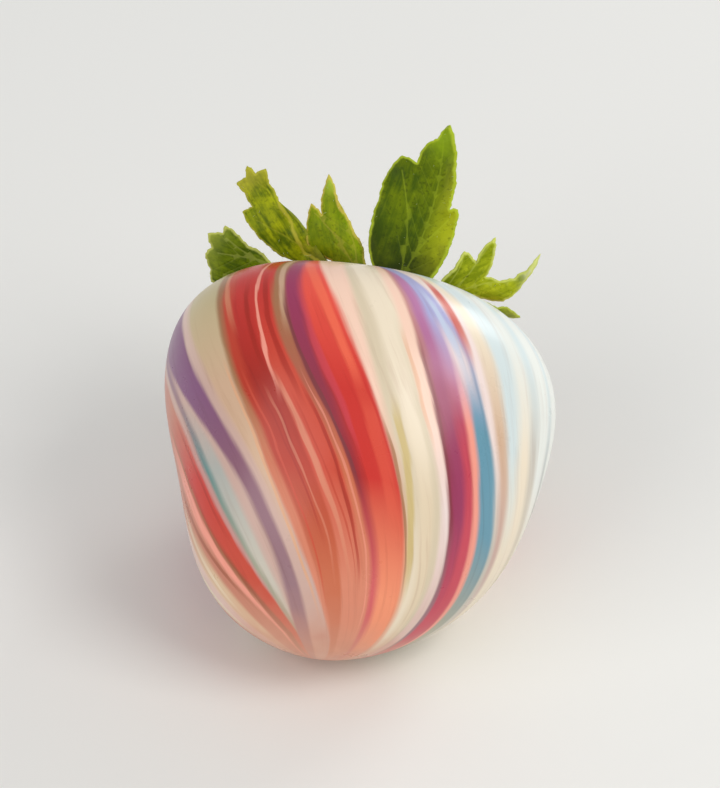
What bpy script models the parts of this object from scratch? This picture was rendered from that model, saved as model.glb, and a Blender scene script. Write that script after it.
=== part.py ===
"""A strawberry in a marbled chocolate coat, lying on its side on the flat foot of the coat.

Every piece is modelled upright: the crown faces up (+Z), the top of the shoulders is at Z = 0, the tip
points down and the side that shows faces forward (-Y). The empty "berry_axes" then lays all pieces back
on the foot, so that the foot is in the plane Z = 0 and the middle of the berry's box is above the origin.
All lengths are in metres and all angles in degrees.
"""

import math
from collections import namedtuple

import bmesh
import bpy
from mathutils import Euler, Matrix, Vector
from mathutils.geometry import delaunay_2d_cdt

MM = 0.001

# Coated berry
BODY_WIDTH = 43.0 * MM
BODY_DEPTH = 39.2 * MM
BODY_LENGTH = 43.6 * MM
WIDEST_DEPTH = 14.5 * MM
SHOULDER_POWER = 2.47
TIP_POWER = 1.77
TIP_SWAY = 2.4 * MM
DIMPLE_DEPTH = 2.6 * MM
DIMPLE_RADIUS = 6.0 * MM
FOUR_SIDED, FOUR_SIDED_AT = 0.032, 56.5
THREE_SIDED, THREE_SIDED_AT = 0.027, 3.0
BODY_RINGS, BODY_SEGMENTS = 48, 64

# How the berry lies
AXIS_TILT = 25.0
AXIS_YAW = -13.0
FOOT_CUT = 1.3 * MM

# Calyx disc and the stub of its stalk
GAP = 0.4 * MM
DISC_RADIUS = 4.1 * MM
DISC_THICKNESS = 1.0 * MM
STUB_RADIUS = 1.3 * MM
STUB_HEIGHT = 2.4 * MM
STUB_PROFILE = ((1.0, 0.5), (0.8, 0.8), (0.85, 1.0), (0.0, 1.0))
DISC_RINGS, DISC_SEGMENTS = 3, 24

# Sepals
SEPAL_RING = 4.7 * MM
SEPAL_BASE_HEIGHT = -1.0 * MM
SEPAL_THICKNESS = 0.5 * MM
SEPAL_SPACING = 1.3 * MM
EDGE_BULGE = 0.06
TWIST_SHARE = 0.6
LANCE_SKEW = 0.85
LANCE_TOOTH, LANCE_NOTCH = 1.15, 0.92

# Outlines of the sepals in millimetres, (across, along), from the right of the base round the tip
BLUNT = (
    (1.0, 0.0), (0.9, 5.0), (0.5, 9.0), (1.2, 12.0), (2.3, 15.3), (1.4, 15.2), (0.9, 16.7),
    (-0.6, 15.7), (-1.5, 16.1), (-3.2, 14.9), (-4.7, 14.3), (-3.9, 11.5), (-2.2, 7.0), (-0.9, 3.5),
    (-0.9, 0.0),
)
FORKED = (
    (0.9, 0.0), (-0.2, 3.0), (-1.8, 5.8), (-1.1, 8.5), (-0.8, 11.5), (-0.6, 14.3), (-0.3, 15.7),
    (-1.7, 16.9), (-3.0, 16.2), (-3.3, 13.5), (-4.8, 13.2), (-5.0, 11.0), (-4.6, 8.5), (-3.5, 5.8),
    (-1.9, 3.2), (-0.9, 0.0),
)
TOOTHED = (
    (1.0, 0.0), (0.9, 2.7), (0.2, 5.6), (-1.2, 8.5), (-2.1, 12.4), (-3.4, 8.1), (-4.4, 9.5),
    (-5.5, 6.6), (-5.6, 4.7), (-3.3, 3.0), (-0.9, 0.0),
)
BROAD = (
    (1.2, 0.0), (3.3, 2.2), (3.9, 6.0), (3.8, 8.4), (3.4, 10.3), (2.5, 10.0), (2.4, 11.6),
    (1.7, 14.2), (0.6, 17.0), (-0.6, 18.7), (-1.3, 16.8), (-2.2, 15.9), (-2.5, 13.6), (-4.3, 13.8),
    (-5.0, 12.0), (-5.0, 8.3), (-4.5, 3.7), (-3.1, 1.2), (-1.2, 0.0),
)
THREE_LOBED = (
    (1.0, 0.0), (1.0, 3.0), (1.2, 5.4), (2.2, 6.4), (3.0, 7.8), (3.0, 9.2), (2.2, 11.0),
    (0.0, 13.5), (0.6, 11.6), (0.6, 10.0), (-0.3, 7.8), (-2.0, 9.0), (-3.9, 9.9), (-3.4, 8.3),
    (-2.2, 7.0), (-4.0, 6.2), (-2.9, 4.5), (-1.7, 2.4), (-1.0, 0.0),
)


def lance(length, width, teeth):
    """Outline of a plain toothed leaf, in the same terms as the outlines above."""
    right = [(0.9, 0.0)]
    for step in range(1, 2 * teeth + 1):
        share = step / (2 * teeth + 1)
        half = width / 2 * math.sin(math.pi * share ** LANCE_SKEW)
        right.append((half * (LANCE_TOOTH if step % 2 == 0 else LANCE_NOTCH), length * share))
    left = [(-across, along) for across, along in reversed(right)]
    return (*right, (0.0, length), *left)


# A sepal's base angle and heading turn from the front (0) towards the right (90)
Sepal = namedtuple("Sepal", "outline mirrored scale base heading elevation roll curl cup")
SEPALS = (
    Sepal(BLUNT, False, 1.0, -100, -80, 15, -42, 6, 20),
    Sepal(FORKED, False, 1.0, -66, -60, 38, -42, -6, 20),
    Sepal(TOOTHED, False, 1.0, -29, -34, 58, -20, -6, 20),
    Sepal(BROAD, False, 1.0, 22, 26, 64, 12, 4, 20),
    Sepal(THREE_LOBED, False, 1.0, 72, 84, 28, 45, -6, 20),
    Sepal(lance(12.5, 4.2, 3), False, 1.0, 114, 126, 30, 8, 14, 30),
    Sepal(lance(15.5, 4.6, 3), False, 1.0, 145, 149, 50, -6, 20, 25),
    Sepal(lance(13.0, 4.2, 2), False, 1.0, 173, 176, 26, -8, 16, 30),
    Sepal(lance(15.0, 4.6, 3), False, 1.0, 202, 206, 48, 6, 18, 30),
    Sepal(lance(12.5, 4.2, 2), False, 1.0, 231, 235, 28, 10, 12, 30),
)

COAT = ("coat_marbled", (0.72, 0.40, 0.33), 0.32)
LEAF = ("leaf_green", (0.16, 0.30, 0.03), 0.55)
STALK = ("stalk_pale_green", (0.33, 0.42, 0.12), 0.6)


def clear_scene():
    """Remove whatever the scene holds."""
    for thing in list(bpy.data.objects):
        bpy.data.objects.remove(thing, do_unlink=True)


def plain_material(name, colour, roughness):
    """Make a material of one colour."""
    material = bpy.data.materials.new(name)
    material.use_nodes = True
    shader = material.node_tree.nodes["Principled BSDF"]
    shader.inputs["Base Color"].default_value = (*colour, 1.0)
    shader.inputs["Roughness"].default_value = roughness
    shader.inputs["Metallic"].default_value = 0.0
    return material


def smooth_object(name, mesh_data, material, parent):
    """Turn a bmesh into a smooth shaded object under the parent."""
    mesh = bpy.data.meshes.new(name)
    bmesh.ops.recalc_face_normals(mesh_data, faces=mesh_data.faces)
    mesh_data.to_mesh(mesh)
    mesh_data.free()
    mesh.shade_smooth()
    mesh.set_sharp_from_angle(angle=math.radians(40))
    mesh.materials.append(material)
    piece = bpy.data.objects.new(name, mesh)
    bpy.context.collection.objects.link(piece)
    piece.parent = parent
    return piece


def profile(turn):
    """Share of the half width and depth below the shoulders, from the crown (0) to the tip (pi)."""
    if turn <= math.pi / 2:
        share = math.sin(turn) ** (2 / SHOULDER_POWER)
        rise = math.cos(turn) ** (2 / SHOULDER_POWER)
        dimple = DIMPLE_DEPTH * math.exp(-((share * BODY_WIDTH / 2 / DIMPLE_RADIUS) ** 2))
        return share, WIDEST_DEPTH * (1 - rise) + dimple
    share = math.sin(turn) ** (2 / TIP_POWER)
    fall = abs(math.cos(turn)) ** (2 / TIP_POWER)
    return share, WIDEST_DEPTH + (BODY_LENGTH - WIDEST_DEPTH) * fall


def body_point(turn, angle):
    """Point of the coat at a turn from the crown and an angle from the front towards the right."""
    share, depth = profile(turn)
    below = max(0.0, (depth - WIDEST_DEPTH) / (BODY_LENGTH - WIDEST_DEPTH))
    x = share * BODY_WIDTH / 2 * math.sin(angle) + TIP_SWAY * below ** 2
    y = -share * BODY_DEPTH / 2 * math.cos(angle)
    z = BODY_LENGTH / 2 - depth
    around = math.atan2(z, x)
    flatness = (x * x + z * z) / (x * x + y * y + z * z)
    lumps = FOUR_SIDED * math.cos(4 * (around - math.radians(FOUR_SIDED_AT)))
    lumps += THREE_SIDED * math.cos(3 * (around - math.radians(THREE_SIDED_AT)))
    grown = 1 + flatness * lumps
    return Vector((x * grown, y, z * grown - BODY_LENGTH / 2))


def add_rings(mesh_data, rings):
    """Join rings of points into a surface that is closed by a point at each end."""
    first = mesh_data.verts.new(rings[0][0])
    last = mesh_data.verts.new(rings[-1][0])
    loops = [[mesh_data.verts.new(point) for point in ring] for ring in rings[1:-1]]
    count = len(loops[0])
    for i in range(count):
        j = (i + 1) % count
        mesh_data.faces.new((first, loops[0][i], loops[0][j]))
        mesh_data.faces.new((last, loops[-1][j], loops[-1][i]))
        for upper, lower in zip(loops, loops[1:]):
            mesh_data.faces.new((upper[i], lower[i], lower[j], upper[j]))


def body_ring(turn, segments):
    """Points round the coat at one turn from the crown."""
    return [body_point(turn, math.tau * i / segments) for i in range(segments)]


def lay_back():
    """Rotation that lays an upright piece back on the foot."""
    return Euler((math.radians(AXIS_TILT - 90), 0, math.radians(AXIS_YAW))).to_matrix()


def build_body(parent, material):
    """Make the coated berry with its flat foot, and return the foot's height once it is laid back."""
    shape = bmesh.new()
    turns = [math.pi * i / BODY_RINGS for i in range(BODY_RINGS + 1)]
    add_rings(shape, [body_ring(turn, BODY_SEGMENTS) for turn in turns])
    up = Vector(lay_back()[2])
    foot = min(up.dot(vert.co) for vert in shape.verts) + FOOT_CUT
    everything = shape.verts[:] + shape.edges[:] + shape.faces[:]
    bmesh.ops.bisect_plane(
        shape, geom=everything, dist=1e-6, plane_co=up * foot, plane_no=up, clear_inner=True
    )
    rim = [edge for edge in shape.edges if edge.is_boundary]
    bmesh.ops.holes_fill(shape, edges=rim)
    smooth_object("coated_berry", shape, material, parent)
    return foot


def level_ring(x, y, z, radius):
    """Points of a level circle, with as many segments as the calyx disc."""
    turns = [math.tau * i / DISC_SEGMENTS for i in range(DISC_SEGMENTS)]
    return [Vector((x + radius * math.sin(turn), y - radius * math.cos(turn), z)) for turn in turns]


def disc_rings():
    """Rings of the calyx disc, from the middle of its underside round its rim to the top of the stub."""
    turns = [math.asin((DISC_RADIUS * 2 / BODY_WIDTH * i / DISC_RINGS) ** (SHOULDER_POWER / 2))
             for i in range(DISC_RINGS + 1)]
    under = [[p + Vector((0, 0, GAP)) for p in body_ring(turn, DISC_SEGMENTS)] for turn in turns]
    over = [[p + Vector((0, 0, DISC_THICKNESS)) for p in ring] for ring in under[:0:-1]]
    middle = under[0][0]
    stub = []
    for width, height in STUB_PROFILE:
        level = middle.z + DISC_THICKNESS + STUB_HEIGHT * height
        stub.append(level_ring(middle.x, middle.y, level, STUB_RADIUS * width))
    return under + over + stub


def build_disc(parent, material):
    """Make the calyx disc, which sits in the crown's dimple and carries the stub of the stalk."""
    shape = bmesh.new()
    add_rings(shape, disc_rings())
    smooth_object("calyx_disc", shape, material, parent)


def rounded_outline(sepal):
    """Outline of a sepal in metres, with each edge bowed outwards and cut into short steps."""
    corners = [Vector(corner) * MM * sepal.scale for corner in sepal.outline]
    points = []
    for start, end in zip(corners, corners[1:]):
        edge = end - start
        steps = max(1, round(edge.length / SEPAL_SPACING))
        outwards = Vector((edge.y, -edge.x)) * EDGE_BULGE
        for i in range(steps):
            share = i / steps
            points.append(start + edge * share + outwards * 4 * share * (1 - share))
    points.append(corners[-1])
    if sepal.mirrored:
        points = [Vector((-point.x, point.y)) for point in reversed(points)]
    return points


def inside(point, outline):
    """Whether a point is inside a closed outline and clear of its edges."""
    crossings = 0
    for start, end in zip(outline, outline[1:] + outline[:1]):
        edge = end - start
        share = min(1.0, max(0.0, (point - start).dot(edge) / edge.length_squared))
        if (start + edge * share - point).length < SEPAL_SPACING / 2:
            return False
        if (start.y > point.y) != (end.y > point.y):
            crossings += start.x + edge.x * (point.y - start.y) / edge.y > point.x
    return crossings % 2 == 1


def fill_outline(outline):
    """Points and triangles that fill an outline, with inner points in staggered rows."""
    left = min(point.x for point in outline)
    right = max(point.x for point in outline)
    top = max(point.y for point in outline)
    inner = []
    for row in range(1, int(top / SEPAL_SPACING) + 1):
        for column in range(int((right - left) / SEPAL_SPACING) + 2):
            across = left + SEPAL_SPACING * (column - 0.5 * (row % 2))
            point = Vector((across, row * SEPAL_SPACING))
            if inside(point, outline):
                inner.append(point)
    ring = list(range(len(outline)))
    points, _, faces, *_ = delaunay_2d_cdt(outline + inner, [], [ring], 1, 1e-7)
    return points, faces


def bent_point(point, sepal, length, middle):
    """Lay a flat point of a sepal on its twisted, curled and cupped surface, in the sepal's own frame."""
    twist = math.radians(sepal.roll) * min(1.0, point.y / (TWIST_SHARE * length))
    bend = math.radians(sepal.curl) / length
    turn = bend * point.y
    across = Vector((math.cos(twist), 0, math.sin(twist)))
    outwards = Vector((-math.sin(twist), -math.sin(turn), math.cos(twist) * math.cos(turn)))
    spine = Vector((0, math.sin(turn) / bend, (1 - math.cos(turn)) / bend))
    return spine + across * point.x - outwards * sepal.cup * (point.x - middle) ** 2


def sepal_frame(sepal):
    """Matrix of a sepal's frame: across it (X), along it (Y) and out of its outer face (Z)."""
    base, heading, elevation = (
        math.radians(angle) for angle in (sepal.base, sepal.heading, sepal.elevation)
    )
    level = math.cos(elevation)
    along = Vector((level * math.sin(heading), -level * math.cos(heading), math.sin(elevation)))
    across = Vector((math.cos(heading), math.sin(heading), 0))
    frame = Matrix((across, along, across.cross(along))).transposed().to_4x4()
    frame.translation = (SEPAL_RING * math.sin(base), -SEPAL_RING * math.cos(base), SEPAL_BASE_HEIGHT)
    return frame


def build_sepal(name, sepal, parent, material):
    """Make one leaf of the calyx."""
    outline = rounded_outline(sepal)
    points, faces = fill_outline(outline)
    length = max(point.y for point in points)
    middle = sum(point.x for point in points) / len(points)
    shape = bmesh.new()
    verts = [shape.verts.new(bent_point(point, sepal, length, middle)) for point in points]
    for face in faces:
        shape.faces.new([verts[i] for i in face])
    piece = smooth_object(name, shape, material, parent)
    piece.matrix_basis = sepal_frame(sepal)
    thickness = piece.modifiers.new("thickness", "SOLIDIFY")
    thickness.thickness = SEPAL_THICKNESS
    thickness.offset = 0.0


def settle(axes, foot):
    """Put the foot in the plane Z = 0 and the middle of the whole box above the origin."""
    axes.rotation_euler = lay_back().to_euler()
    axes.location = (0, 0, -foot)
    bpy.context.view_layer.update()
    graph = bpy.context.evaluated_depsgraph_get()
    places = []
    for piece in axes.children:
        shape = piece.evaluated_get(graph)
        places += [piece.matrix_world @ vert.co for vert in shape.data.vertices]
    for axis in (0, 1):
        values = [place[axis] for place in places]
        axes.location[axis] = -(min(values) + max(values)) / 2


def main():
    """Build the berry, its calyx disc and its sepals, and lay them back on the foot."""
    clear_scene()
    coat, leaf, stalk = (plain_material(*finish) for finish in (COAT, LEAF, STALK))
    axes = bpy.data.objects.new("berry_axes", None)
    bpy.context.collection.objects.link(axes)
    foot = build_body(axes, coat)
    build_disc(axes, stalk)
    for number, sepal in enumerate(SEPALS, 1):
        build_sepal(f"sepal_{number:02d}", sepal, axes, leaf)
    settle(axes, foot)


main()
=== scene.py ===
"""A whole strawberry in a marbled white chocolate coat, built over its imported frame.

The berry is worked out upright, in its own frame: the crown faces up (+Z), the top of the shoulders
is at Z = 0 and the side that shows faces forward (-Y). The Lay then puts every piece down on the
foot of the coat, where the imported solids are. Lengths are in metres and angles in degrees, except
where a name or a docstring says otherwise.
"""

import logging
import math
import random
from dataclasses import dataclass
from enum import Enum
from typing import Any, Iterable, Optional, Sequence, Union

import bmesh
import bpy
import numpy as np
from mathutils import Euler, Matrix, Vector
from mathutils.geometry import delaunay_2d_cdt


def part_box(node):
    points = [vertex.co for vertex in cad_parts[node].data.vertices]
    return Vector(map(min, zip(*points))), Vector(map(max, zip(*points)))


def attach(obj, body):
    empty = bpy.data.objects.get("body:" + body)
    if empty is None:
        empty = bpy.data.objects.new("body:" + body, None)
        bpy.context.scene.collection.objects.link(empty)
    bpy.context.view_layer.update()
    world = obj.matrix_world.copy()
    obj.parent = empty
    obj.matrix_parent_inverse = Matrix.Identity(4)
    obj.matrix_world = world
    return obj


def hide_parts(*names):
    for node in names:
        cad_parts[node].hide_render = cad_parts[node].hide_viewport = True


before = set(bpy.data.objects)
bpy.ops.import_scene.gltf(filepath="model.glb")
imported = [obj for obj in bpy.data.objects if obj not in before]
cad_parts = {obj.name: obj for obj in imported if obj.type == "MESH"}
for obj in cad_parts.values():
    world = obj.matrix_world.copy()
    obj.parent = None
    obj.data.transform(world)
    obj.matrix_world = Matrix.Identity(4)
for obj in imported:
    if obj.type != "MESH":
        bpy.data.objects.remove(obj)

MM = 0.001
LOG = logging.getLogger("strawberry")

Number = Union[int, float]
Term = Union["Expr", Number]
Colour = tuple[float, float, float, float]


# ---------------------------------------------------------------------------------------------
# Colours
# ---------------------------------------------------------------------------------------------


def linear(red: Number, green: Number, blue: Number) -> Colour:
    """Turn a colour as it is seen on a screen into the linear colour that shaders take.

    Args:
        red: red, from 0 to 255.
        green: green, from 0 to 255.
        blue: blue, from 0 to 255.

    Returns:
        The linear colour with an alpha of 1.
    """

    def channel(value: Number) -> float:
        share = value / 255
        return share / 12.92 if share <= 0.04045 else ((share + 0.055) / 1.055) ** 2.4

    return channel(red), channel(green), channel(blue), 1.0


class Tone(Enum):
    """Named colours of the melted chocolate, the fruit and the calyx."""

    CREAM = (241, 226, 201)
    BUFF = (231, 212, 182)
    PEARL = (233, 236, 229)
    COOL_PEARL = (214, 226, 226)
    PINK_WHITE = (244, 224, 218)
    IVORY_PINK = (250, 212, 190)
    ROSY_CREAM = (228, 198, 186)
    BEIGE = (220, 204, 176)
    PEACH_BEIGE = (224, 192, 156)
    GREY_CREAM = (206, 198, 184)
    COOL_GREY = (180, 182, 176)
    MAUVE_BEIGE = (208, 174, 162)
    TAN = (214, 178, 148)
    KHAKI = (206, 190, 146)
    OLIVE_GOLD = (208, 184, 118)
    APRICOT = (230, 170, 128)
    BROWN_TAN = (168, 120, 82)
    RUST = (158, 80, 50)
    SIENNA = (206, 112, 78)
    ROSY_TAN = (202, 128, 104)
    DUSTY_ROSE = (204, 148, 142)
    CORAL_PINK = (248, 160, 140)
    SOFT_CORAL = (222, 138, 110)
    ORANGE_CORAL = (250, 116, 84)
    PEACH = (248, 152, 114)
    PALE_PEACH = (236, 184, 154)
    CORAL = (206, 76, 54)
    BROWN_CORAL = (176, 94, 72)
    BRIGHT_RED = (238, 86, 70)
    SCARLET = (206, 52, 44)
    BRICK = (186, 54, 32)
    DEEP_RED = (166, 36, 22)
    WINE = (160, 42, 46)
    ROSE_RED = (206, 72, 90)
    ROSE = (216, 98, 100)
    PLUM = (146, 50, 70)
    DARK_PLUM = (124, 56, 62)
    MAGENTA = (158, 58, 96)
    MAUVE = (188, 124, 168)
    PURPLE = (134, 84, 126)
    SOFT_PURPLE = (156, 120, 128)
    DUSKY_PURPLE = (142, 96, 116)
    LAVENDER = (174, 174, 216)
    PALE_BLUE = (198, 210, 230)
    STEEL_BLUE = (104, 154, 174)
    TEAL_GREY = (100, 142, 140)
    SAGE = (170, 168, 146)
    FLESH_PINK = (232, 150, 128)
    FLESH_RED = (196, 52, 40)

    @property
    def colour(self) -> Colour:
        """The linear colour."""
        return linear(*self.value)


# ---------------------------------------------------------------------------------------------
# Node building
# ---------------------------------------------------------------------------------------------


class Expr:
    """A number inside a node tree. Python's operators on it add Math nodes."""

    def __init__(self, tree: "Tree", socket: bpy.types.NodeSocket) -> None:
        """Wrap an output socket that carries a number.

        Args:
            tree: the tree that the socket is in.
            socket: the output socket.
        """
        self.tree = tree
        self.socket = socket

    def _math(self, operation: str, *terms: Term) -> "Expr":
        """Make a Math node of the operation on the terms."""
        inputs = dict(enumerate(terms))
        return self.tree.number("ShaderNodeMath", {"operation": operation}, inputs)

    def __add__(self, other: Term) -> "Expr":
        """Sum."""
        return self._math("ADD", self, other)

    def __radd__(self, other: Term) -> "Expr":
        """Sum with the number on the left."""
        return self._math("ADD", other, self)

    def __sub__(self, other: Term) -> "Expr":
        """Difference."""
        return self._math("SUBTRACT", self, other)

    def __rsub__(self, other: Term) -> "Expr":
        """Difference with the number on the left."""
        return self._math("SUBTRACT", other, self)

    def __mul__(self, other: Term) -> "Expr":
        """Product."""
        return self._math("MULTIPLY", self, other)

    def __rmul__(self, other: Term) -> "Expr":
        """Product with the number on the left."""
        return self._math("MULTIPLY", other, self)

    def __truediv__(self, other: Term) -> "Expr":
        """Quotient."""
        return self._math("DIVIDE", self, other)

    def __rtruediv__(self, other: Term) -> "Expr":
        """Quotient with the number on the left."""
        return self._math("DIVIDE", other, self)

    def __pow__(self, other: Term) -> "Expr":
        """Power."""
        return self._math("POWER", self, other)

    def __neg__(self) -> "Expr":
        """Negative."""
        return self._math("MULTIPLY", self, -1.0)

    def __abs__(self) -> "Expr":
        """Absolute value."""
        return self._math("ABSOLUTE", self)

    def sqrt(self) -> "Expr":
        """Square root."""
        return self._math("SQRT", self)

    def exp(self) -> "Expr":
        """Natural exponential."""
        return self._math("EXPONENT", self)

    def sin(self) -> "Expr":
        """Sine of an angle in radians."""
        return self._math("SINE", self)

    def cos(self) -> "Expr":
        """Cosine of an angle in radians."""
        return self._math("COSINE", self)

    def atan2(self, other: Term) -> "Expr":
        """Angle in radians of the point at (other, self)."""
        return self._math("ARCTAN2", self, other)

    def least(self, other: Term) -> "Expr":
        """The smaller of the two."""
        return self._math("MINIMUM", self, other)

    def most(self, other: Term) -> "Expr":
        """The larger of the two."""
        return self._math("MAXIMUM", self, other)

    def over(self, other: Term) -> "Expr":
        """1 where it is larger than the other, or else 0."""
        return self._math("GREATER_THAN", self, other)

    def wrapped(self, low: Number, high: Number) -> "Expr":
        """The value brought between low and high by whole turns."""
        return self._math("WRAP", self, high, low)

    def times_plus(self, factor: Term, term: Term) -> "Expr":
        """The value times a factor, plus a term."""
        return self._math("MULTIPLY_ADD", self, factor, term)

    def smooth(self, low: Number, high: Number) -> "Expr":
        """A smooth step from 0 at low to 1 at high, where high may be below low."""
        settings = {"interpolation_type": "SMOOTHSTEP", "clamp": False}
        first, last, start, end = (low, high, 0.0, 1.0) if low < high else (high, low, 1.0, 0.0)
        inputs = {"Value": self, "From Min": first, "From Max": last, "To Min": start, "To Max": end}
        return self.tree.number("ShaderNodeMapRange", settings, inputs)


class Tree:
    """A node tree that is being built."""

    def __init__(self, nodes: bpy.types.NodeTree) -> None:
        """Take over a tree, which may be a material's or a geometry tree."""
        self.nodes = nodes
        self.made: dict[tuple[str, ...], bpy.types.Node] = {}

    def node(
        self,
        kind: str,
        settings: Optional[dict[str, Any]] = None,
        inputs: Optional[dict[Union[str, int], Any]] = None,
    ) -> bpy.types.Node:
        """Make any node, or find the one that was made alike.

        Cycles merges nodes that are alike, and then it may need too many values at once.

        Args:
            kind: the node's type.
            settings: its properties; "stops" gives a ramp's (place, colour) stops.
            inputs: values, Exprs or sockets for its inputs, by identifier, name or number.

        Returns:
            The node.
        """
        labels = [f"{key}={self._label(value)}" for key, value in (inputs or {}).items()]
        key = (kind, repr(settings), *labels)
        if key in self.made:
            return self.made[key]
        made = self.made[key] = self.nodes.nodes.new(kind)
        for name, value in (settings or {}).items():
            if name == "stops":
                self._set_stops(made.color_ramp, value)
            else:
                setattr(made, name, value)
        for key, value in (inputs or {}).items():
            self._feed(self._find(made.inputs, key), value)
        return made

    def number(self, kind: str, settings: dict[str, Any], inputs: dict[Any, Any]) -> Expr:
        """Make a node whose first output is a number, and return that as an Expr."""
        return Expr(self, self.node(kind, settings, inputs).outputs[0])

    def expr(self, node: bpy.types.Node, output: str) -> Expr:
        """Wrap a node's output, found by name, as an Expr."""
        return Expr(self, node.outputs[output])

    def split(self, vector: bpy.types.NodeSocket) -> tuple[Expr, Expr, Expr]:
        """Take a vector socket apart.

        Args:
            vector: the socket.

        Returns:
            Its X, Y and Z.
        """
        parts = self.node("ShaderNodeSeparateXYZ", None, {0: vector})
        return self.expr(parts, "X"), self.expr(parts, "Y"), self.expr(parts, "Z")

    def vector(self, x: Term, y: Term, z: Term) -> bpy.types.NodeSocket:
        """Join three numbers into a vector socket."""
        return self.node("ShaderNodeCombineXYZ", None, {0: x, 1: y, 2: z}).outputs[0]

    def noise(self, place: Any, scale: Number, detail: Number = 2.0, rough: Number = 0.5) -> Expr:
        """Make smooth noise round 0.

        Args:
            place: the vector that it is read at.
            scale: how many of its features fit in one unit of the vector.
            detail: how many finer layers it has.
            rough: how strong the finer layers are.

        Returns:
            The noise, mostly between -0.5 and 0.5.
        """
        inputs = {"Vector": place, "Scale": scale, "Detail": detail, "Roughness": rough}
        node = self.node("ShaderNodeTexNoise", {"noise_dimensions": "3D"}, inputs)
        return Expr(self, node.outputs[0]) - 0.5

    def mix(
        self, first: Any, second: Any, factor: Term, blend_type: str = "MIX"
    ) -> bpy.types.NodeSocket:
        """Mix two colours.

        Args:
            first: colour or socket at a factor of 0.
            second: colour or socket at a factor of 1.
            factor: the share of the second.
            blend_type: the way they are blended.

        Returns:
            The mixed colour's socket.
        """
        settings = {"data_type": "RGBA", "blend_type": blend_type, "clamp_factor": True}
        inputs = {"Factor_Float": factor, "A_Color": first, "B_Color": second}
        return self.node("ShaderNodeMix", settings, inputs).outputs[2]

    def ramp(self, factor: Expr, stops: Sequence[tuple[float, Colour]]) -> bpy.types.NodeSocket:
        """Make a colour ramp over a number.

        Args:
            factor: the number, from 0 to 1.
            stops: places and colours.

        Returns:
            The colour's socket.
        """
        return self.node("ShaderNodeValToRGB", {"stops": stops}, {0: factor}).outputs[0]

    @staticmethod
    def _label(value: Any) -> str:
        """Name an input's value, or the socket that it comes from."""
        socket = value.socket if isinstance(value, Expr) else value
        if isinstance(socket, bpy.types.NodeSocket):
            return f"{socket.node.name}/{socket.identifier}"
        return repr(value)

    def _feed(self, socket: bpy.types.NodeSocket, value: Any) -> None:
        """Link a socket or an Expr to an input, or set the input's value."""
        if isinstance(value, Expr):
            self.nodes.links.new(value.socket, socket)
        elif isinstance(value, bpy.types.NodeSocket):
            self.nodes.links.new(value, socket)
        else:
            socket.default_value = value

    @staticmethod
    def _find(sockets: Any, key: Union[str, int]) -> bpy.types.NodeSocket:
        """Find a socket by number, identifier or name."""
        if isinstance(key, int):
            return sockets[key]
        for socket in sockets:
            if socket.identifier == key:
                return socket
        return sockets[key]

    @staticmethod
    def _set_stops(ramp: bpy.types.ColorRamp, stops: Sequence[tuple[float, Colour]]) -> None:
        """Give a ramp its stops."""
        while len(ramp.elements) > 1:
            ramp.elements.remove(ramp.elements[-1])
        ramp.elements[0].position, ramp.elements[0].color = stops[0]
        for place, colour in stops[1:]:
            ramp.elements.new(place).color = colour


def new_material(name: str) -> tuple[bpy.types.Material, Tree, bpy.types.Node]:
    """Make a material with one Principled shader.

    Args:
        name: the material's name.

    Returns:
        The material, its tree and the shader node.
    """
    material = bpy.data.materials.new(name)
    material.use_nodes = True
    shader = material.node_tree.nodes["Principled BSDF"]
    return material, Tree(material.node_tree), shader


def dress(tree: Tree, shader: bpy.types.Node, inputs: dict[str, Any]) -> None:
    """Feed a shader's sockets by name with values, Exprs or sockets."""
    for name, value in inputs.items():
        tree._feed(shader.inputs[name], value)


# ---------------------------------------------------------------------------------------------
# How the berry lies
# ---------------------------------------------------------------------------------------------


@dataclass(frozen=True)
class Lay:
    """How the upright berry is laid back, and where.

    Attributes:
        tilt: how far the crown is raised above the level.
        yaw: how far the berry is turned about the vertical.
        corner: where the berry's own origin is in the row frame.
    """

    tilt: float = 25.0
    yaw: float = -13.0
    corner: tuple[float, float, float] = (0.0, 0.0, 0.0)

    @property
    def turn(self) -> Euler:
        """The rotation from the berry's own frame to the row frame."""
        return Euler((math.radians(self.tilt - 90), 0.0, math.radians(self.yaw)))

    @property
    def matrix(self) -> Matrix:
        """The whole move from the berry's own frame to the row frame."""
        return Matrix.Translation(self.corner) @ self.turn.to_matrix().to_4x4()

    def own_place(self, tree: Tree) -> bpy.types.NodeSocket:
        """Make the nodes that turn Object coordinates back into the berry's own frame.

        Args:
            tree: the material's tree.

        Returns:
            The vector's socket.
        """
        place = tree.node("ShaderNodeTexCoord").outputs["Object"]
        settings = {"vector_type": "TEXTURE"}
        inputs = {"Vector": place, "Location": self.corner, "Rotation": self.turn}
        return tree.node("ShaderNodeMapping", settings, inputs).outputs[0]


# ---------------------------------------------------------------------------------------------
# The marbled coat
# ---------------------------------------------------------------------------------------------

# Falls, in degrees from the crown (0) round the belly to the tip (180), that stripes are given at
STATIONS = (55.0, 85.0, 115.0, 145.0)
STATION_MIDDLE, STATION_HALF = 100.0, 45.0
TONE_FALLS = (62.0, 90.0, 116.0, 144.0)
SEAM = -104.0


def cubic_through(values: Sequence[float]) -> list[float]:
    """Find the cubic that passes through values at the four stations.

    Args:
        values: the values at STATIONS.

    Returns:
        The coefficients, highest power first, over (fall - middle) / half span.
    """
    steps = [(station - STATION_MIDDLE) / STATION_HALF for station in STATIONS]
    return [float(c) for c in np.polyfit(steps, values, 3)]


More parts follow.
